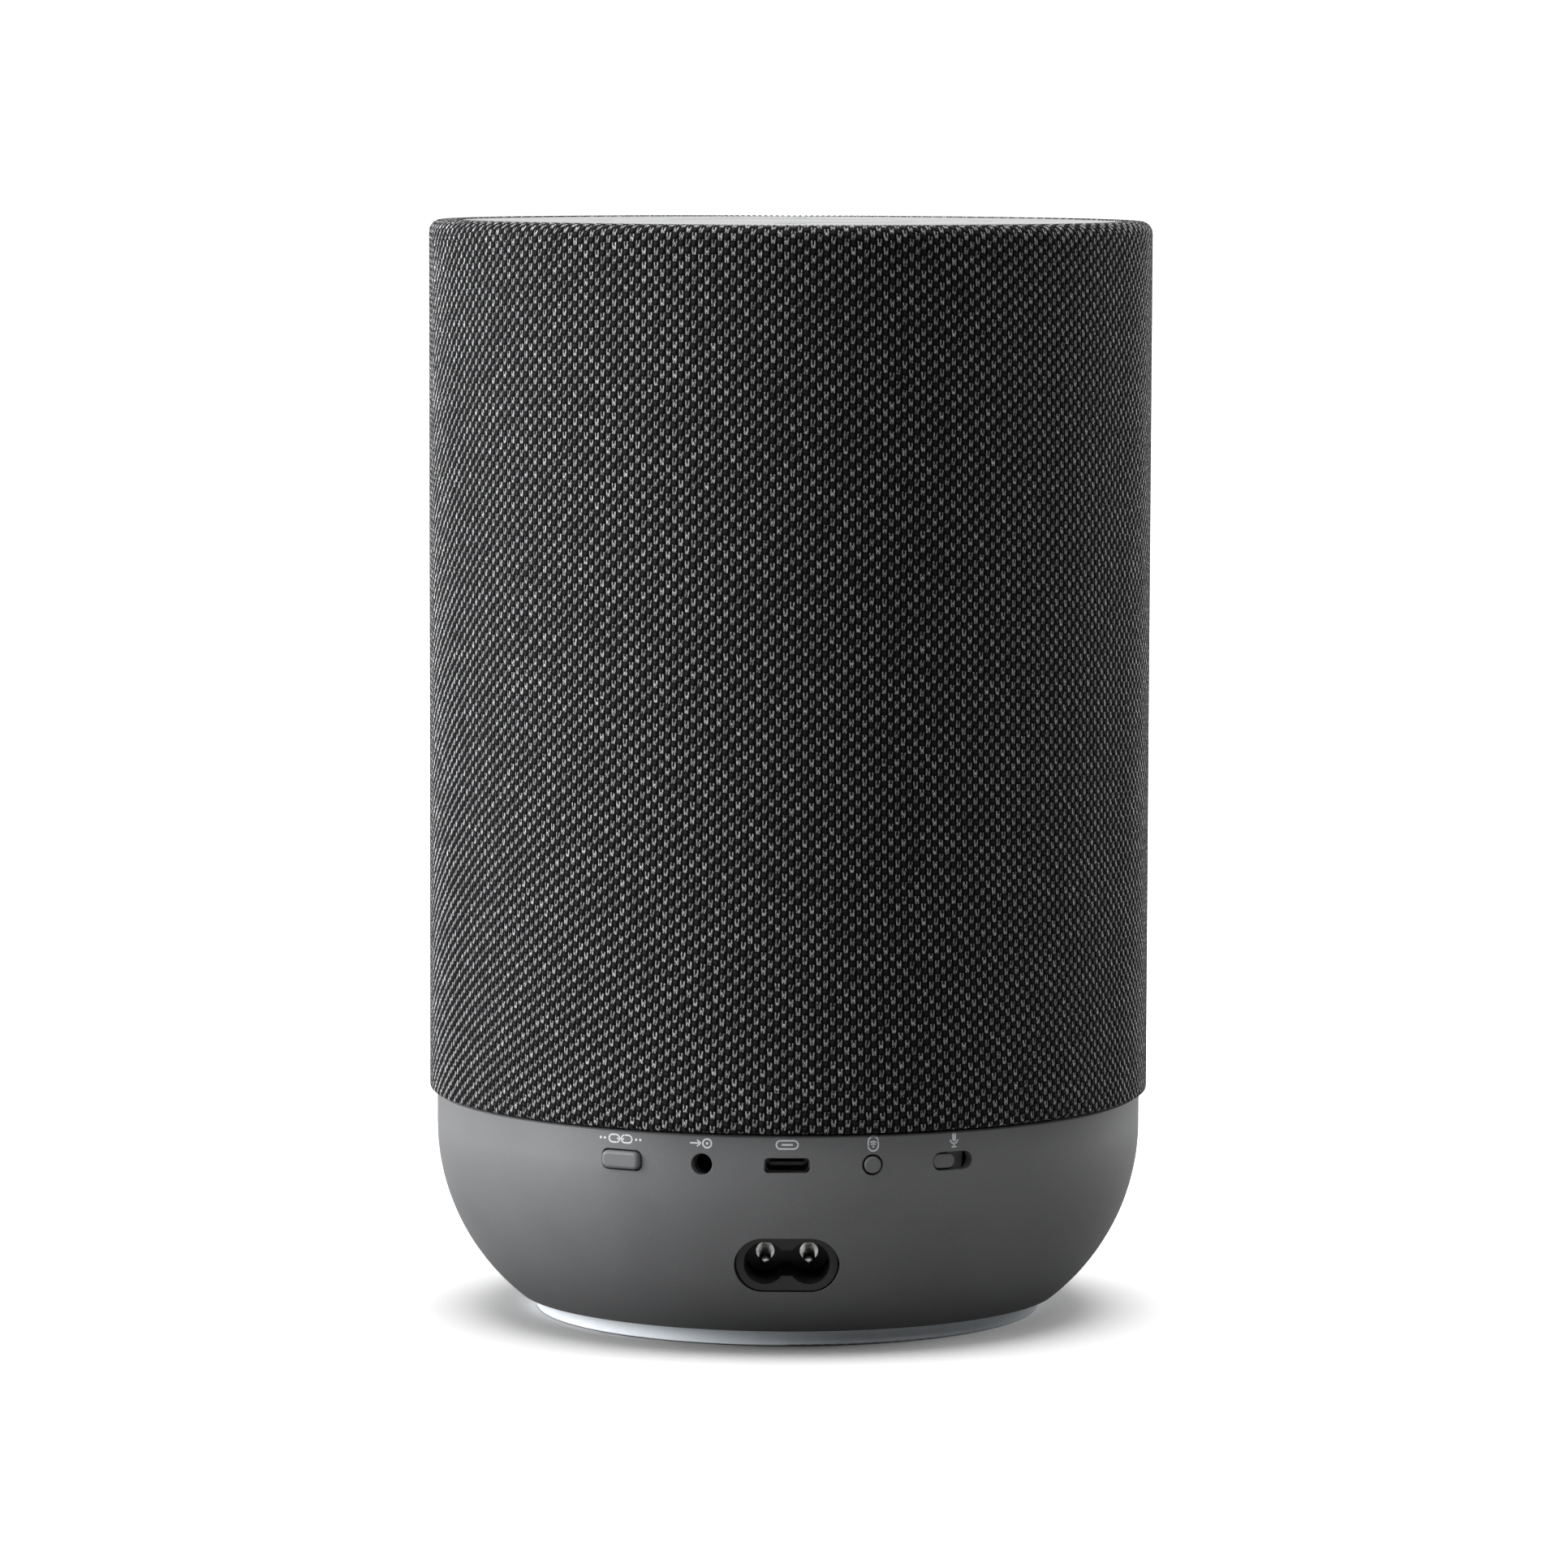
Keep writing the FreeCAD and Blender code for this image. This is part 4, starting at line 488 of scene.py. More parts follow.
def board_material():
    """Solder-masked laminate with tracks, pads and a fine glass weave."""
    material, s, sockets = new_material("board_laminate")
    place = object_coordinates(s)
    cells = s.add("ShaderNodeTexVoronoi", {"Vector": place, "Scale": 260.0}, output="Color",
                  distance="CHEBYCHEV")
    tracks = s.ramp(s.add("ShaderNodeSeparateColor", {0: cells}), 0.42, 0.46)
    weave = s.add("ShaderNodeTexWave", {"Vector": place, "Scale": 1400.0, "Distortion": 0.6})
    green = s.blend(tracks, (0.010, 0.060, 0.030), (0.018, 0.110, 0.050))
    s.fill(sockets["Base Color"], s.blend(s.math("MULTIPLY", weave, 0.15), green,
                                          (0.05, 0.16, 0.08)))
    s.fill(sockets["Roughness"], s.ramp(weave, 0.0, 1.0, 0.28, 0.4))
    s.fill(sockets["Normal"], s.bump(s.math("MULTIPLY_ADD", weave, 0.2, tracks), 0.02 * MM, 0.6))
    return material


def cloth_material(name, tint):
    """Stiffened woven cloth with crossing threads."""
    material, s, sockets = new_material(name)
    place = object_coordinates(s)
    warp = s.add("ShaderNodeTexWave", {"Vector": place, "Scale": 900.0}, bands_direction="X")
    weft = s.add("ShaderNodeTexWave", {"Vector": place, "Scale": 900.0}, bands_direction="Y")
    thread = s.math("MAXIMUM", warp, weft)
    s.fill(sockets["Base Color"], s.blend(thread, tuple(c * 0.5 for c in tint), tint))
    s.fill(sockets["Roughness"], s.ramp(thread, 0.0, 1.0, 0.85, 0.65))
    s.fill(sockets["Normal"], s.bump(thread, 0.05 * MM, 0.8))
    return material


# --- mesh helpers -------------------------------------------------------------------------------


dressed = {"fabric_sleeve"}    # CAD nodes with a finish; the knitted sleeve stands for this one

def deselect_all():
    if bpy.context.object is not None and bpy.context.object.mode != "OBJECT":
        bpy.ops.object.mode_set(mode="OBJECT")
    for item in bpy.context.view_layer.objects:
        item.select_set(False)


def only(piece):
    """Select one piece and make it active."""
    deselect_all()
    piece.select_set(True)
    bpy.context.view_layer.objects.active = piece


def dress(piece, material, smooth=40.0):
    """Give a fixed piece its material and slot, and smooth its faces up to an angle."""
    piece.data.materials.clear()
    piece.data.materials.append(material)
    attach(piece, "root")
    only(piece)
    bpy.ops.object.shade_smooth_by_angle(angle=math.radians(smooth))
    piece.select_set(False)


def dress_node(node, material):
    """Give a carried-over CAD node its material."""
    mesh = frame["nodes"][node].data
    mesh.materials.clear()
    mesh.materials.append(material)
    dressed.add(node)


# --- knitted sleeve -----------------------------------------------------------------------------


def sleeve_path(knit):
    """Stations up the sleeve, as (radius, height, outward normal, distance along the cloth)."""
    stations = []
    upright = SLEEVE_HIGH - knit.rim
    hem_start = SLEEVE_RADIUS - knit.hem
    for number in range(3):
        radius = hem_start + (knit.hem - LOW_ROUND) * number / 2
        stations.append((radius, SLEEVE_LOW, (0.0, -1.0)))
    for turn in (30.0, 60.0):
        angle = math.radians(turn)
        stations.append((SLEEVE_RADIUS - LOW_ROUND + LOW_ROUND * math.sin(angle),
                         SLEEVE_LOW + LOW_ROUND - LOW_ROUND * math.cos(angle),
                         (math.sin(angle), -math.cos(angle))))
    straight_low = SLEEVE_LOW + LOW_ROUND
    rows = round((upright - straight_low) / (knit.repeat / 2))
    for number in range(rows + 1):
        height = straight_low + (upright - straight_low) * number / rows
        stations.append((SLEEVE_RADIUS, height, (1.0, 0.0)))
    for turn in (18.0, 36.0, 54.0, 72.0, 90.0):
        angle = math.radians(turn)
        stations.append((SLEEVE_RADIUS - knit.rim + knit.rim * math.cos(angle),
                         upright + knit.rim * math.sin(angle),
                         (math.cos(angle), math.sin(angle))))
    inner = PANEL_RADIUS + RIM_GAP
    for number in range(1, 4):
        radius = SLEEVE_RADIUS - knit.rim + (inner - SLEEVE_RADIUS + knit.rim) * number / 3
        stations.append((radius, SLEEVE_HIGH, (0.0, 1.0)))
    stations.append((inner, SLEEVE_HIGH - RIM_TUCK, (-1.0, 0.0)))
    walked = 0.0
    path = []
    for number, (radius, height, normal) in enumerate(stations):
        if number:
            last = stations[number - 1]
            walked += math.hypot(radius - last[0], height - last[1])
        path.append((radius, height, normal, walked))
    return path


def fan_out(turn, height):
    """Angle of a column: the columns spread a little towards the lower edge."""
    angle = 2 * math.pi * turn
    middle = (SLEEVE_LOW + SLEEVE_HIGH) / 2
    below = 2 * (middle - height) / (SLEEVE_HIGH - SLEEVE_LOW)
    return angle + FAN * max(below, 0.0) ** 2 * math.sin(2 * angle)


def stitch_rows(turn, walked, middle, repeat):
    """Rows up to a point: packed closer at the sides, and climbing with every turn."""
    packed = 1.0 + SIDE_PACKING * math.sin(2 * math.pi * turn) ** 2
    return (walked - middle) / repeat * packed + CLIMB * turn


class SPEAKER_OT_knit_sleeve(bpy.types.Operator):
    """Knitted sleeve, wrapped round the upper rim and under the lower edge"""

    bl_idname = "speaker.knit_sleeve"
    bl_label = "Knitted sleeve"

    def execute(self, context):
        knit = context.scene.speaker_knit
        path = sleeve_path(knit)
        rows = len(path)
        middle = path[rows // 2][3]
        deselect_all()
        bpy.ops.mesh.primitive_grid_add(x_subdivisions=knit.columns * 2, size=1.0,
                                        y_subdivisions=rows - 1, calc_uvs=True)
        sleeve = context.object
        sleeve.name = sleeve.data.name = "knit_sleeve"
        for vertex in sleeve.data.vertices:
            turn = vertex.co.x + 0.5
            radius, height, (out, up), walked = path[round((vertex.co.y + 0.5) * (rows - 1))]
            ridge = 0.5 - 0.5 * math.cos(2 * math.pi * turn * knit.columns)
            lift = knit.relief * (ridge - SUNK)
            angle = fan_out(turn, height)
            reach = radius + lift * out
            vertex.co = (-reach * math.sin(angle), reach * math.cos(angle), height + lift * up)
        layer = sleeve.data.uv_layers[0]
        layer.name = "stitches"
        for loop in layer.data:
            turn = loop.uv.x
            walked = path[round(loop.uv.y * (rows - 1))][3]
            loop.uv = (turn * knit.columns, stitch_rows(turn, walked, middle, knit.repeat))
        bpy.ops.object.mode_set(mode="EDIT")
        bpy.ops.mesh.select_all(action="SELECT")
        bpy.ops.mesh.remove_doubles(threshold=0.00001)
        bpy.ops.mesh.normals_make_consistent(inside=False)
        bpy.ops.object.mode_set(mode="OBJECT")
        dress(sleeve, knit_material(knit), smooth=180.0)
        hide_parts("fabric_sleeve")
        return {"FINISHED"}


# --- printed marks ------------------------------------------------------------------------------


class Mark:
    """A flat mark drawn in edit mode from strokes: u to the right, v up, in metres."""

    def __init__(self, name, line):
        deselect_all()
        self.line = line
        self.piece = bpy.data.objects.new(name, bpy.data.meshes.new(name))
        bpy.context.scene.collection.objects.link(self.piece)
        only(self.piece)
        bpy.ops.object.mode_set(mode="EDIT")

    def bar(self, u, v, end_u, end_v, width=None):
        """A straight stroke, cut into short lengths so that it can follow a curve."""
        run = math.hypot(end_u - u, end_v - v)
        middle = ((u + end_u) / 2, (v + end_v) / 2, 0.0)
        bpy.ops.mesh.primitive_grid_add(x_subdivisions=6, y_subdivisions=1, size=1.0,
                                        location=middle)
        bpy.ops.transform.resize(value=(run, width or self.line, 1.0), center_override=middle)
        bpy.ops.transform.rotate(value=-math.atan2(end_v - v, end_u - u), orient_axis="Z",
                                 center_override=middle)

    def dot(self, u, v, radius):
        bpy.ops.mesh.primitive_circle_add(vertices=24, radius=radius, fill_type="NGON",
                                          location=(u, v, 0.0))

    def arc(self, u, v, radius, start=0.0, end=360.0):
        """A curved stroke, from a circle cut open, extruded and scaled outwards."""
        inner = radius - self.line / 2
        bpy.ops.mesh.select_all(action="DESELECT")
        bpy.ops.mesh.primitive_circle_add(vertices=48, radius=inner, location=(u, v, 0.0))
        drawn = bmesh.from_edit_mesh(self.piece.data)
        for vertex in drawn.verts:
            turn = math.degrees(math.atan2(vertex.co.y - v, vertex.co.x - u)) % 360.0
            inside = (turn - start) % 360.0 <= end - start + 0.1
            vertex.select_set(vertex.select and not inside)
        if end - start < 360.0:
            bpy.ops.mesh.delete(type="VERT")
        drawn = bmesh.from_edit_mesh(self.piece.data)
        for vertex in drawn.verts:
            vertex.select_set(not vertex.link_faces)
        drawn.select_flush(True)
        bpy.ops.mesh.extrude_edges_move()
        wider = (inner + self.line) / inner
        bpy.ops.transform.resize(value=(wider, wider, 1.0), center_override=(u, v, 0.0))

    def pill(self, u, v, width, height):
        """An outline with round ends."""
        bend = min(width, height) / 2
        if width >= height:
            reach = width / 2 - bend
            self.arc(u + reach, v, bend, -90.0, 90.0)
            self.arc(u - reach, v, bend, 90.0, 270.0)
            for side in (-bend, bend):
                self.bar(u - reach, v + side, u + reach, v + side)
        else:
            reach = height / 2 - bend
            self.arc(u, v + reach, bend, 0.0, 180.0)
            self.arc(u, v - reach, bend, 180.0, 360.0)
            for side in (-bend, bend):
                self.bar(u + side, v - reach, u + side, v + reach)

    def finish(self, place, target, material, film):
        """Stand the mark at its place, lay it on the CAD node and give it its film of ink."""
        bpy.ops.mesh.select_all(action="SELECT")
        bpy.ops.mesh.normals_make_consistent(inside=False)
        bpy.ops.object.mode_set(mode="OBJECT")
        mark = self.piece
        for polygon in mark.data.polygons:
            if polygon.normal.z < 0:
                polygon.flip()
        mark.matrix_world = place
        bpy.ops.object.transform_apply(location=True, rotation=True, scale=True)
        outward = (place.to_3x3() @ Vector((0.0, 0.0, 1.0))).normalized()
        wrap = mark.modifiers.new("lay_on", "SHRINKWRAP")
        wrap.target = frame["nodes"][target]
        wrap.wrap_method = "PROJECT"
        wrap.use_negative_direction = True
        wrap.use_positive_direction = True
        axis = max(range(3), key=lambda number: abs(outward[number]))
        wrap.use_project_x, wrap.use_project_y, wrap.use_project_z = (
            axis == number for number in range(3))
        wrap.project_limit = MARK_REACH
        wrap.offset = film / 2
        bpy.ops.object.modifier_apply(modifier=wrap.name)
        ink = mark.modifiers.new("film", "SOLIDIFY")
        ink.thickness = film
        ink.offset = 1.0
        bpy.ops.object.modifier_apply(modifier=ink.name)
        dress(mark, material)


def draw_link(mark):
    """Two joined links between pairs of dots."""
    for side in (-1, 1):
        mark.pill(side * 1.35 * MM, 0.0, 2.3 * MM, 1.5 * MM)
        mark.dot(side * 3.45 * MM, 0.0, 0.26 * MM)
        mark.dot(side * 4.35 * MM, 0.0, 0.26 * MM)
    mark.bar(-0.8 * MM, 0.0, 0.8 * MM, 0.0)


def draw_line_in(mark):
    """An arrow into a round socket."""
    mark.arc(1.2 * MM, 0.0, 0.85 * MM)
    mark.dot(1.2 * MM, 0.0, 0.26 * MM)
    mark.bar(-2.2 * MM, 0.0, -0.1 * MM, 0.0)
    mark.bar(-0.8 * MM, 0.62 * MM, -0.05 * MM, 0.0)
    mark.bar(-0.8 * MM, -0.62 * MM, -0.05 * MM, 0.0)


def draw_port(mark):
    """A flat socket with its tongue."""
    mark.pill(0.0, 0.0, 4.2 * MM, 1.6 * MM)
    mark.bar(-1.1 * MM, 0.0, 1.1 * MM, 0.0, 0.36 * MM)


def draw_waves(mark):
    """A tall outline round a sender and its waves."""
    mark.pill(0.0, 0.0, 2.0 * MM, 2.8 * MM)
    mark.dot(0.0, -0.55 * MM, 0.22 * MM)
    mark.arc(0.0, -0.55 * MM, 0.55 * MM, 35.0, 145.0)
    mark.arc(0.0, -0.55 * MM, 1.0 * MM, 48.0, 132.0)


def draw_microphone(mark):
    """A capsule in its cradle on a foot."""
    mark.dot(0.0, 1.0 * MM, 0.42 * MM)
    mark.bar(0.0, 0.1 * MM, 0.0, 1.0 * MM, 0.84 * MM)
    mark.dot(0.0, 0.1 * MM, 0.42 * MM)
    mark.arc(0.0, 0.1 * MM, 0.8 * MM, 180.0, 360.0)
    mark.bar(0.0, -0.7 * MM, 0.0, -1.3 * MM)
    mark.bar(-0.55 * MM, -1.35 * MM, 0.55 * MM, -1.35 * MM)


class SPEAKER_OT_port_marks(bpy.types.Operator):
    """Printed marks over the ports"""

    bl_idname = "speaker.port_marks"
    bl_label = "Port marks"

    def execute(self, context):
        base = context.scene.speaker_base
        ink = mark_material("port_ink", base.marks)
        drawings = {"link_mark": draw_link, "line_in_mark": draw_line_in,
                    "port_mark": draw_port, "waves_mark": draw_waves,
                    "microphone_mark": draw_microphone}
        for number, (name, draw) in enumerate(drawings.items()):
            mark = Mark(name, base.mark_line)
            draw(mark)
            turn = (number - 2) * PORT_STEP
            place = (Matrix.Rotation(turn, 4, "Z")
                     @ Matrix.Translation((0.0, -BASE_RADIUS - MARK_START, base.mark_height))
                     @ Matrix.Rotation(math.radians(90.0), 4, "X"))
            mark.finish(place, "base_shell", ink, base.film)
        return {"FINISHED"}


def draw_play(mark):
    """A wedge and two bars."""
    mark.bar(-3.2 * MM, -2.2 * MM, -3.2 * MM, 2.2 * MM)
    mark.bar(-3.2 * MM, 2.2 * MM, 0.4 * MM, 0.0)
    mark.bar(-3.2 * MM, -2.2 * MM, 0.4 * MM, 0.0)
    mark.bar(1.6 * MM, -2.0 * MM, 1.6 * MM, 2.0 * MM)
    mark.bar(3.0 * MM, -2.0 * MM, 3.0 * MM, 2.0 * MM)


def draw_plus(mark):
    mark.bar(-2.4 * MM, 0.0, 2.4 * MM, 0.0)
    mark.bar(0.0, 0.3 * MM, 0.0, 2.4 * MM)
    mark.bar(0.0, -0.3 * MM, 0.0, -2.4 * MM)


def draw_minus(mark):
    mark.bar(-2.4 * MM, 0.0, 2.4 * MM, 0.0)


def draw_lamp(mark):
    """A small sun."""
    mark.arc(0.0, 0.0, 1.3 * MM)
    for number in range(8):
        turn = math.radians(45.0 * number)
        mark.bar(2.1 * MM * math.cos(turn), 2.1 * MM * math.sin(turn),
                 3.0 * MM * math.cos(turn), 3.0 * MM * math.sin(turn))


class SPEAKER_OT_panel_marks(bpy.types.Operator):
    """Touch marks and the fine ring on the top panel"""

    bl_idname = "speaker.panel_marks"
    bl_label = "Panel marks"

    def execute(self, context):
        panel = context.scene.speaker_panel
        ink = mark_material("panel_ink", panel.marks)
        drawings = {"play_touch": draw_play, "plus_touch": draw_plus,
                    "lamp_touch": draw_lamp, "minus_touch": draw_minus}
        for number, (name, draw) in enumerate(drawings.items()):
            mark = Mark(name, panel.mark_line)
            draw(mark)
            turn = math.radians(90.0 * number)
            place = Matrix.Translation((panel.mark_circle * math.sin(turn),
                                        panel.mark_circle * math.cos(turn),
                                        PANEL_TOP + MARK_START))
            place = place @ Matrix.Rotation(math.pi, 4, "Z")
            mark.finish(place, "top_panel", ink, panel.film)
        circle = Mark("touch_circle", panel.mark_line)
        circle.arc(0.0, 0.0, panel.ring_radius)
        circle.finish(Matrix.Translation((0.0, 0.0, PANEL_TOP + MARK_START)), "top_panel", ink,
                      panel.film)
        return {"FINISHED"}


# --- finishes of the CAD pieces -----------------------------------------------------------------


class SPEAKER_OT_outer_finishes(bpy.types.Operator):
    """Finishes of the base, its ports, the light ring, the foot and the touch panel"""

    bl_idname = "speaker.outer_finishes"
    bl_label = "Outer finishes"

    def execute(self, context):
        base = context.scene.speaker_base
        panel = context.scene.speaker_panel
        shell = moulded_material("base_moulding", base.plastic, base.roughness)
        for node in ("base_shell", "connect_button", "wireless_button", "mic_slider"):
            dress_node(node, shell)
        black = moulded_material("port_moulding", (0.012, 0.012, 0.013), 0.38, grain=3200.0,
                                 depth=0.008, edge=0.18, dust=0.2)
        for node in ("aux_jack", "usb_tongue", "inlet_housing"):
            dress_node(node, black)
        plated = moulded_material("plated_shell", (0.60, 0.60, 0.59), 0.30, grain=5000.0,
                                  depth=0.004, edge=0.10, dust=0.1, metallic=1.0)
        for node in ("shield_can", "microphones"):
            dress_node(node, plated)
        # The USB shell gets a near-black nickel tone: painted shade for the dark inside of the
        # port.
        dress_node("usb_shell", moulded_material("nickel_with_painted_port_shade", (0.10, 0.10, 0.105), 0.34,
                                                 grain=5000.0, depth=0.004, edge=0.10,
                                                 dust=0.1, metallic=1.0))
        dress_node("inlet_pins", pin_material())
        dress_node("light_ring", ring_material(base))
        dress_node("foot_pad", moulded_material("foot_rubber", (0.022, 0.022, 0.023), 0.8,
                                                grain=1800.0, depth=0.03))
        dress_node("top_panel", panel_material(panel))
        return {"FINISHED"}


class SPEAKER_OT_inner_finishes(bpy.types.Operator):
    """Finishes of the frame, the drivers, the boards and everything else inside"""

    bl_idname = "speaker.inner_finishes"
    bl_label = "Inner finishes"

    def execute(self, context):
        plastic = moulded_material("inner_moulding", (0.035, 0.035, 0.037), 0.55)
        steel = moulded_material("plated_steel", (0.52, 0.52, 0.50), 0.36, grain=4000.0,
                                 depth=0.006, metallic=1.0)
        aluminium = moulded_material("drawn_aluminium", (0.68, 0.69, 0.70), 0.34, grain=3600.0,
                                     depth=0.010, metallic=1.0)
        ferrite = moulded_material("sintered_ferrite", (0.045, 0.044, 0.046), 0.62,
                                   grain=1500.0, depth=0.04)
        rubber = moulded_material("driver_rubber", (0.016, 0.016, 0.017), 0.72, grain=2000.0,
                                  depth=0.02)
        foam = moulded_material("sealing_foam", (0.05, 0.05, 0.052), 0.92, grain=1100.0,
                                depth=0.10)
        copper = moulded_material("coil_winding", (0.62, 0.28, 0.14), 0.32, grain=3000.0,
                                  depth=0.02, metallic=1.0)
        frost = moulded_material("led_lens", (0.75, 0.75, 0.70), 0.35, grain=5000.0, depth=0.004)
        sheath = moulded_material("lead_sheath", (0.02, 0.02, 0.022), 0.5, grain=2200.0,
                                  depth=0.012)
        film = moulded_material("ribbon_film", (0.40, 0.20, 0.05), 0.35, grain=2600.0,
                                depth=0.006)
        board = board_material()
        spider = cloth_material("spider_cloth", (0.42, 0.30, 0.14))
        dome = cloth_material("dome_cloth", (0.05, 0.05, 0.055))
        finishes = {
            plastic: ("base_plate", "mid_frame", "cabinet", "baffle", "radiator_frames",
                      "acoustic_deflector", "tweeter_left", "tweeter_right", "top_carrier",
                      "grille_frame", "board_spacers", "button_switches", "mic_switch"),
            steel: ("case_screws", "woofer_basket", "woofer_top_plate", "woofer_back_plate"),
            aluminium: ("power_heat_sink", "processor_heat_sink", "woofer_cone", "dust_cap",
                        "radiator_left", "radiator_right", "bulk_capacitor"),
            ferrite: ("woofer_magnet", "transformer"),
            rubber: ("radiator_surround_left", "radiator_surround_right", "woofer_surround",
                     "microphone_boots", "lead_grommet"),
            foam: ("cabinet_gasket",),
            copper: ("voice_coil", "mains_choke"),
            frost: ("status_leds",),
            board: ("led_board", "power_board", "main_board", "radio_module", "io_board",
                    "touch_board"),
            spider: ("woofer_spider",),
            dome: ("tweeter_domes",),
            film: ("touch_ribbon",),
            sheath: ("speaker_lead",),
        }
        for material, nodes in finishes.items():
            for node in nodes:
                dress_node(node, material)
        plain = sorted(set(frame["nodes"]) - dressed)
        if plain:
            raise RuntimeError("no finish on " + ", ".join(plain))
        return {"FINISHED"}


# --- studio -------------------------------------------------------------------------------------


def area_light(name, place, aim, size, power):
    """A soft rectangular light that looks at a point."""
    deselect_all()
    bpy.ops.object.light_add(type="AREA", location=place)
    lamp = bpy.context.object
    lamp.name = name
    lamp.data.shape = "RECTANGLE"
    lamp.data.size, lamp.data.size_y = size
    lamp.data.energy = power
    lamp.rotation_euler = (Vector(aim) - Vector(place)).to_track_quat("-Z", "Y").to_euler()
    return lamp


def floor_material(studio):
    """Pale seamless paper with a faint tooth and a painted glow, seen by the camera alone, that
    whitens it where nothing stands close.
    """
    material = bpy.data.materials.new("studio_paper")
    material.use_nodes = True
    tree = material.node_tree
    tree.nodes.clear()
    s = Shader(tree)
    tooth = s.noise(object_coordinates(s), 700.0, 3.0, 0.6)
    seen = s.add("ShaderNodeLightPath", output="Is Camera Ray")
    paper = s.blend(tooth, tuple(c * 0.985 for c in studio.floor), studio.floor)
    thrown = s.blend(seen, (studio.bounce,) * 3, paper)
    # Emission seen by the camera alone and scaled by ambient occlusion: a painted glow on the
    # open floor, weaker close to the speaker, which leaves a painted contact shade there.
    open_sky = s.add("ShaderNodeAmbientOcclusion", {"Distance": 0.045}, output="AO")
    lift = s.math("MULTIPLY", s.math("POWER", open_sky, 2.0), s.math("MULTIPLY", seen, 0.55))
    matt = s.add("ShaderNodeBsdfDiffuse", {"Color": thrown, "Roughness": 0.9})
    lit = s.add("ShaderNodeEmission", {"Color": (1.0, 1.0, 1.0), "Strength": lift})
    surface = s.add("ShaderNodeAddShader", {0: matt, 1: lit})
    s.fill(tree.nodes.new("ShaderNodeOutputMaterial").inputs["Surface"], surface)
    return material


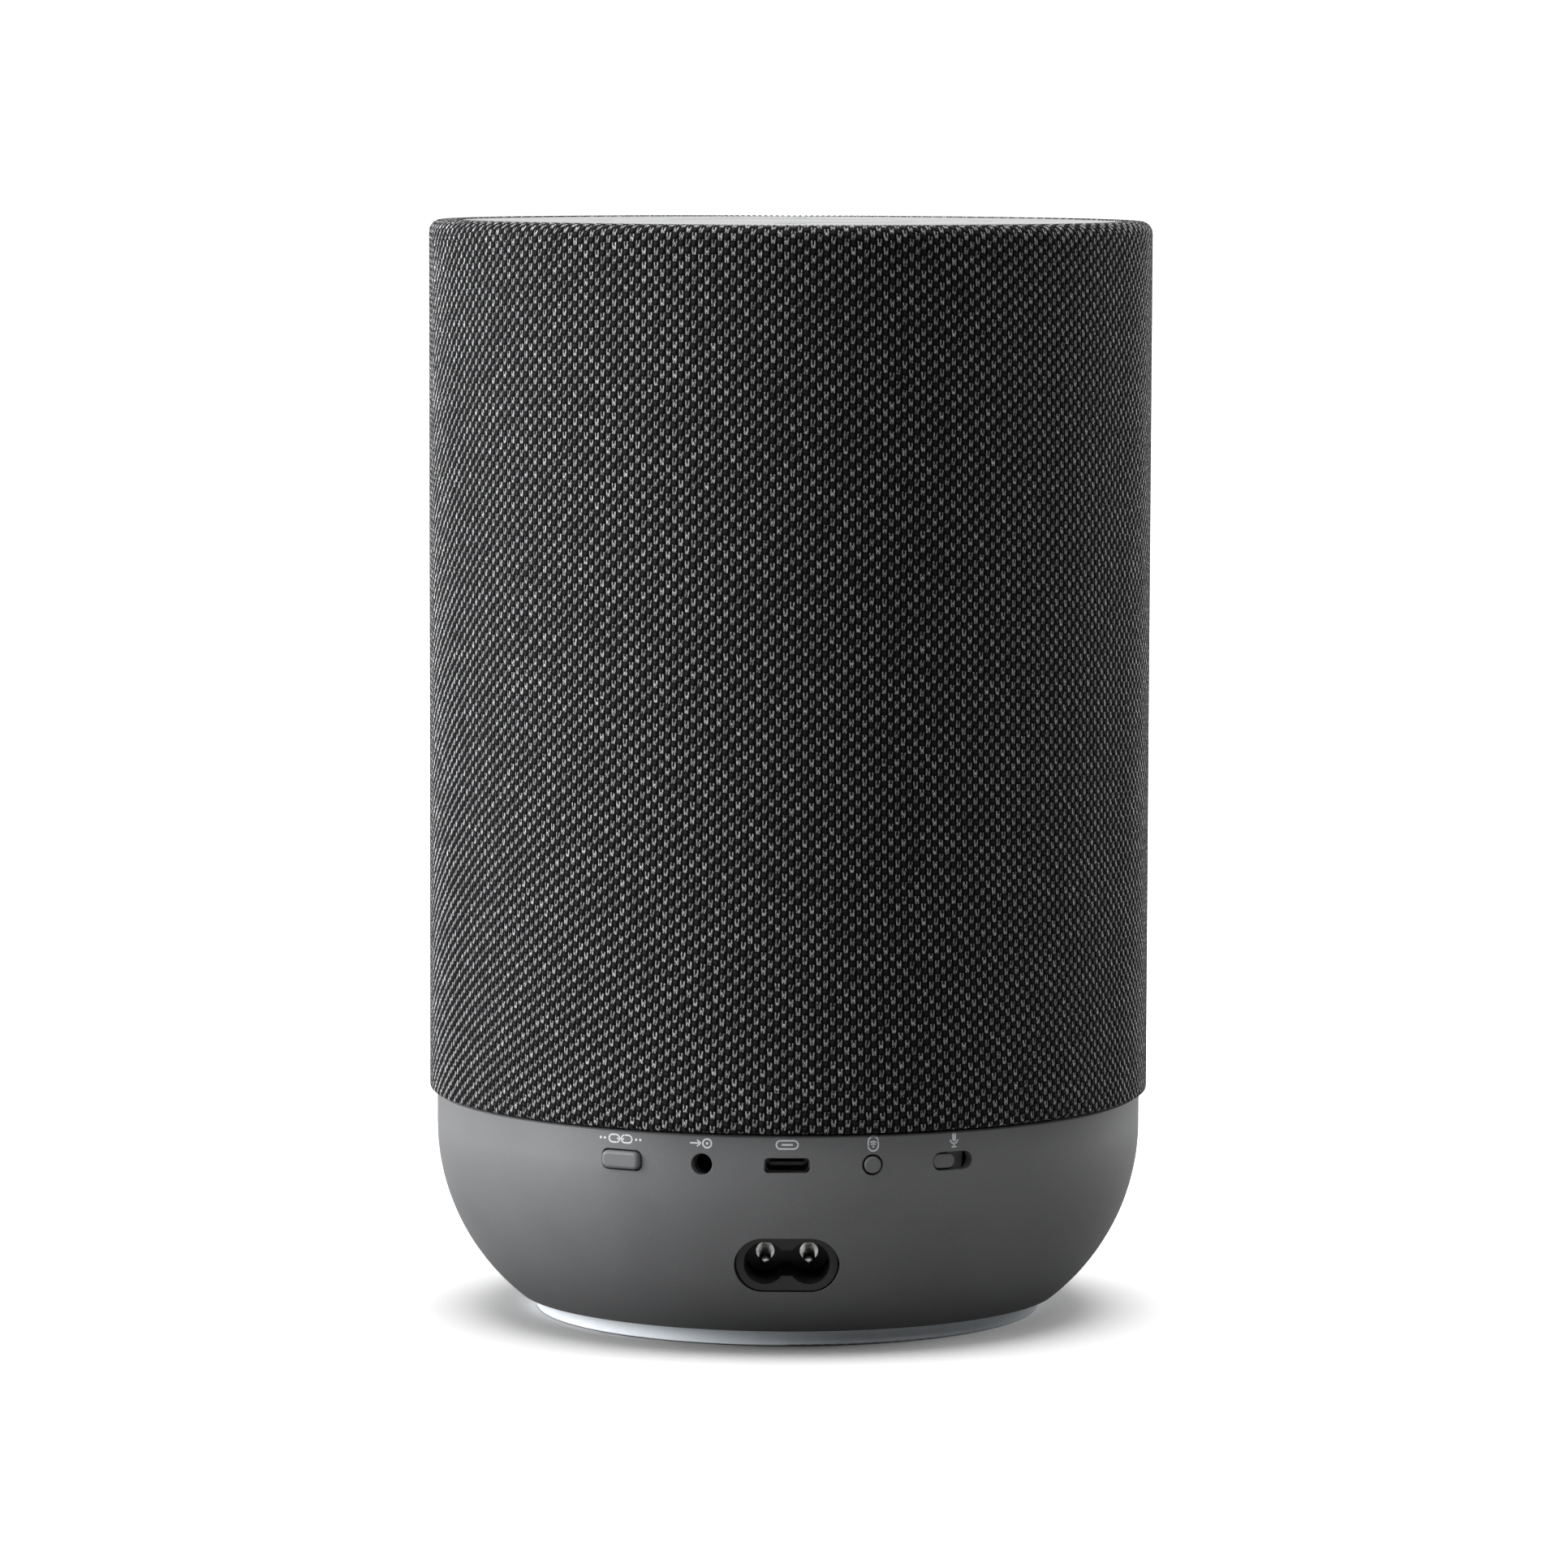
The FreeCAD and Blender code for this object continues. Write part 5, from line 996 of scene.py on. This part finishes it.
class SPEAKER_OT_studio(bpy.types.Operator):
    """Pale floor, white room, soft lights and camera"""

    bl_idname = "speaker.studio"
    bl_label = "Studio"

    def execute(self, context):
        studio = context.scene.speaker_studio
        deselect_all()
        bpy.ops.mesh.primitive_grid_add(x_subdivisions=8, y_subdivisions=8, size=FLOOR_SIZE,
                                        location=(0.0, 0.0, 0.0))
        floor = context.object
        floor.name = floor.data.name = "floor"
        floor.data.materials.append(floor_material(studio))
        floor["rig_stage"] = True
        self.white_room(context, studio)
        self.lights(studio)
        self.camera(context, studio)
        return {"FINISHED"}

    def white_room(self, context, studio):
        """White behind the speaker, dimmer on the side that it is looked at from."""
        world = context.scene.world or bpy.data.worlds.new("room")
        context.scene.world = world
        world.use_nodes = True
        tree = world.node_tree
        tree.nodes.clear()
        s = Shader(tree)
        way = s.add("ShaderNodeTexCoord", output="Generated")
        split = s.add("ShaderNodeSeparateXYZ", {0: way}, output="Y")
        behind = s.ramp(split, -0.35, 0.45)
        seen = s.add("ShaderNodeLightPath", output="Is Camera Ray")
        level = s.math("MULTIPLY_ADD", behind, studio.backdrop - studio.surround,
                       studio.surround)
        strength = s.math("MAXIMUM", level, s.math("MULTIPLY", seen, 1.2))
        background = s.add("ShaderNodeBackground", {"Color": (1.0, 1.0, 1.0),
                                                    "Strength": strength})
        tree.links.new(background, tree.nodes.new("ShaderNodeOutputWorld").inputs["Surface"])

    def lights(self, studio):
        """Soft lights that reach the speaker, its base or the floor alone, and an even sky."""
        speaker_only = bpy.data.collections.new("speaker_lights")
        floor_only = bpy.data.collections.new("floor_lights")
        base_only = bpy.data.collections.new("base_lights")
        for piece in bpy.context.scene.objects:
            if piece.type == "MESH":
                (floor_only if piece.get("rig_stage") else speaker_only).objects.link(piece)
                top = max((piece.matrix_world @ Vector(corner)).z for corner in piece.bound_box)
                if 0.0 < top < BASE_LIGHT_TOP:
                    base_only.objects.link(piece)
        for name, place, size, power, lit in (
                ("left_softbox", (-1.25, -0.25, 0.50), (0.8, 1.1), studio.left_light,
                 speaker_only),
                ("left_rim", (-1.05, 0.75, 0.45), (0.4, 1.0), studio.left_rim, speaker_only),
                ("right_rim", (0.85, 0.85, 0.45), (0.3, 0.9), studio.right_rim, speaker_only),
                ("base_softbox", (0.35, -1.1, 0.95), (0.8, 0.5), studio.base_light, base_only),
                ("left_floor_light", (-1.2, 0.4, 0.32), (1.2, 0.4), studio.left_floor,
                 floor_only),
                ("right_floor_light", (1.2, 0.4, 0.32), (1.2, 0.4), studio.right_floor,
                 floor_only)):
            lamp = area_light(name, place, LIGHT_AIM, size, power)
            lamp.light_linking.receiver_collection = lit
        deselect_all()
        bpy.ops.object.light_add(type="SUN", location=(0.0, 0.0, 2.0))
        sky = bpy.context.object
        sky.name = "overhead"
        sky.data.energy = studio.top_light
        sky.data.angle = math.radians(50.0)

    def camera(self, context, studio):
        deselect_all()
        pitch, yaw, roll = (math.radians(angle) for angle in CAMERA_TURNS)
        bpy.ops.object.camera_add(location=(studio.aside, -studio.distance, studio.height))
        camera = context.object
        camera.name = "studio_camera"
        camera.data.lens = studio.lens
        camera.data.sensor_width = 36.0
        forward = Vector((math.sin(yaw) * math.cos(pitch), math.cos(yaw) * math.cos(pitch),
                          math.sin(pitch)))
        camera.matrix_world = (Matrix.Translation(camera.location)
                               @ forward.to_track_quat("-Z", "Y").to_matrix().to_4x4()
                               @ Matrix.Rotation(roll, 4, "Z"))
        context.scene.camera = camera
        context.scene.view_settings.view_transform = "Standard"


# --- add-on -------------------------------------------------------------------------------------


STEPS = (SPEAKER_OT_knit_sleeve, SPEAKER_OT_outer_finishes, SPEAKER_OT_inner_finishes,
         SPEAKER_OT_port_marks, SPEAKER_OT_panel_marks, SPEAKER_OT_studio)
SETTINGS = {"speaker_knit": SpeakerKnitSettings, "speaker_base": SpeakerBaseSettings,
            "speaker_panel": SpeakerPanelSettings, "speaker_studio": SpeakerStudioSettings}


class SPEAKER_PT_sidebar(bpy.types.Panel):
    """The speaker's pieces, in the order in which they are made"""

    bl_idname = "SPEAKER_PT_sidebar"
    bl_label = "Speaker"
    bl_space_type = "VIEW_3D"
    bl_region_type = "UI"
    bl_category = "Speaker"

    def draw(self, context):
        for step in STEPS:
            self.layout.operator(step.bl_idname)


def register():
    for name, settings in SETTINGS.items():
        bpy.utils.register_class(settings)
        setattr(bpy.types.Scene, name, PointerProperty(type=settings))
    for step in (*STEPS, SPEAKER_PT_sidebar):
        bpy.utils.register_class(step)


def unregister():
    for step in (SPEAKER_PT_sidebar, *reversed(STEPS)):
        bpy.utils.unregister_class(step)
    for name, settings in reversed(SETTINGS.items()):
        delattr(bpy.types.Scene, name)
        bpy.utils.unregister_class(settings)


def main():
    register()
    make_shared_groups()
    for step in STEPS:
        package, name = step.bl_idname.split(".")
        getattr(getattr(bpy.ops, package), name)()


if __name__ == "__main__":
    main()
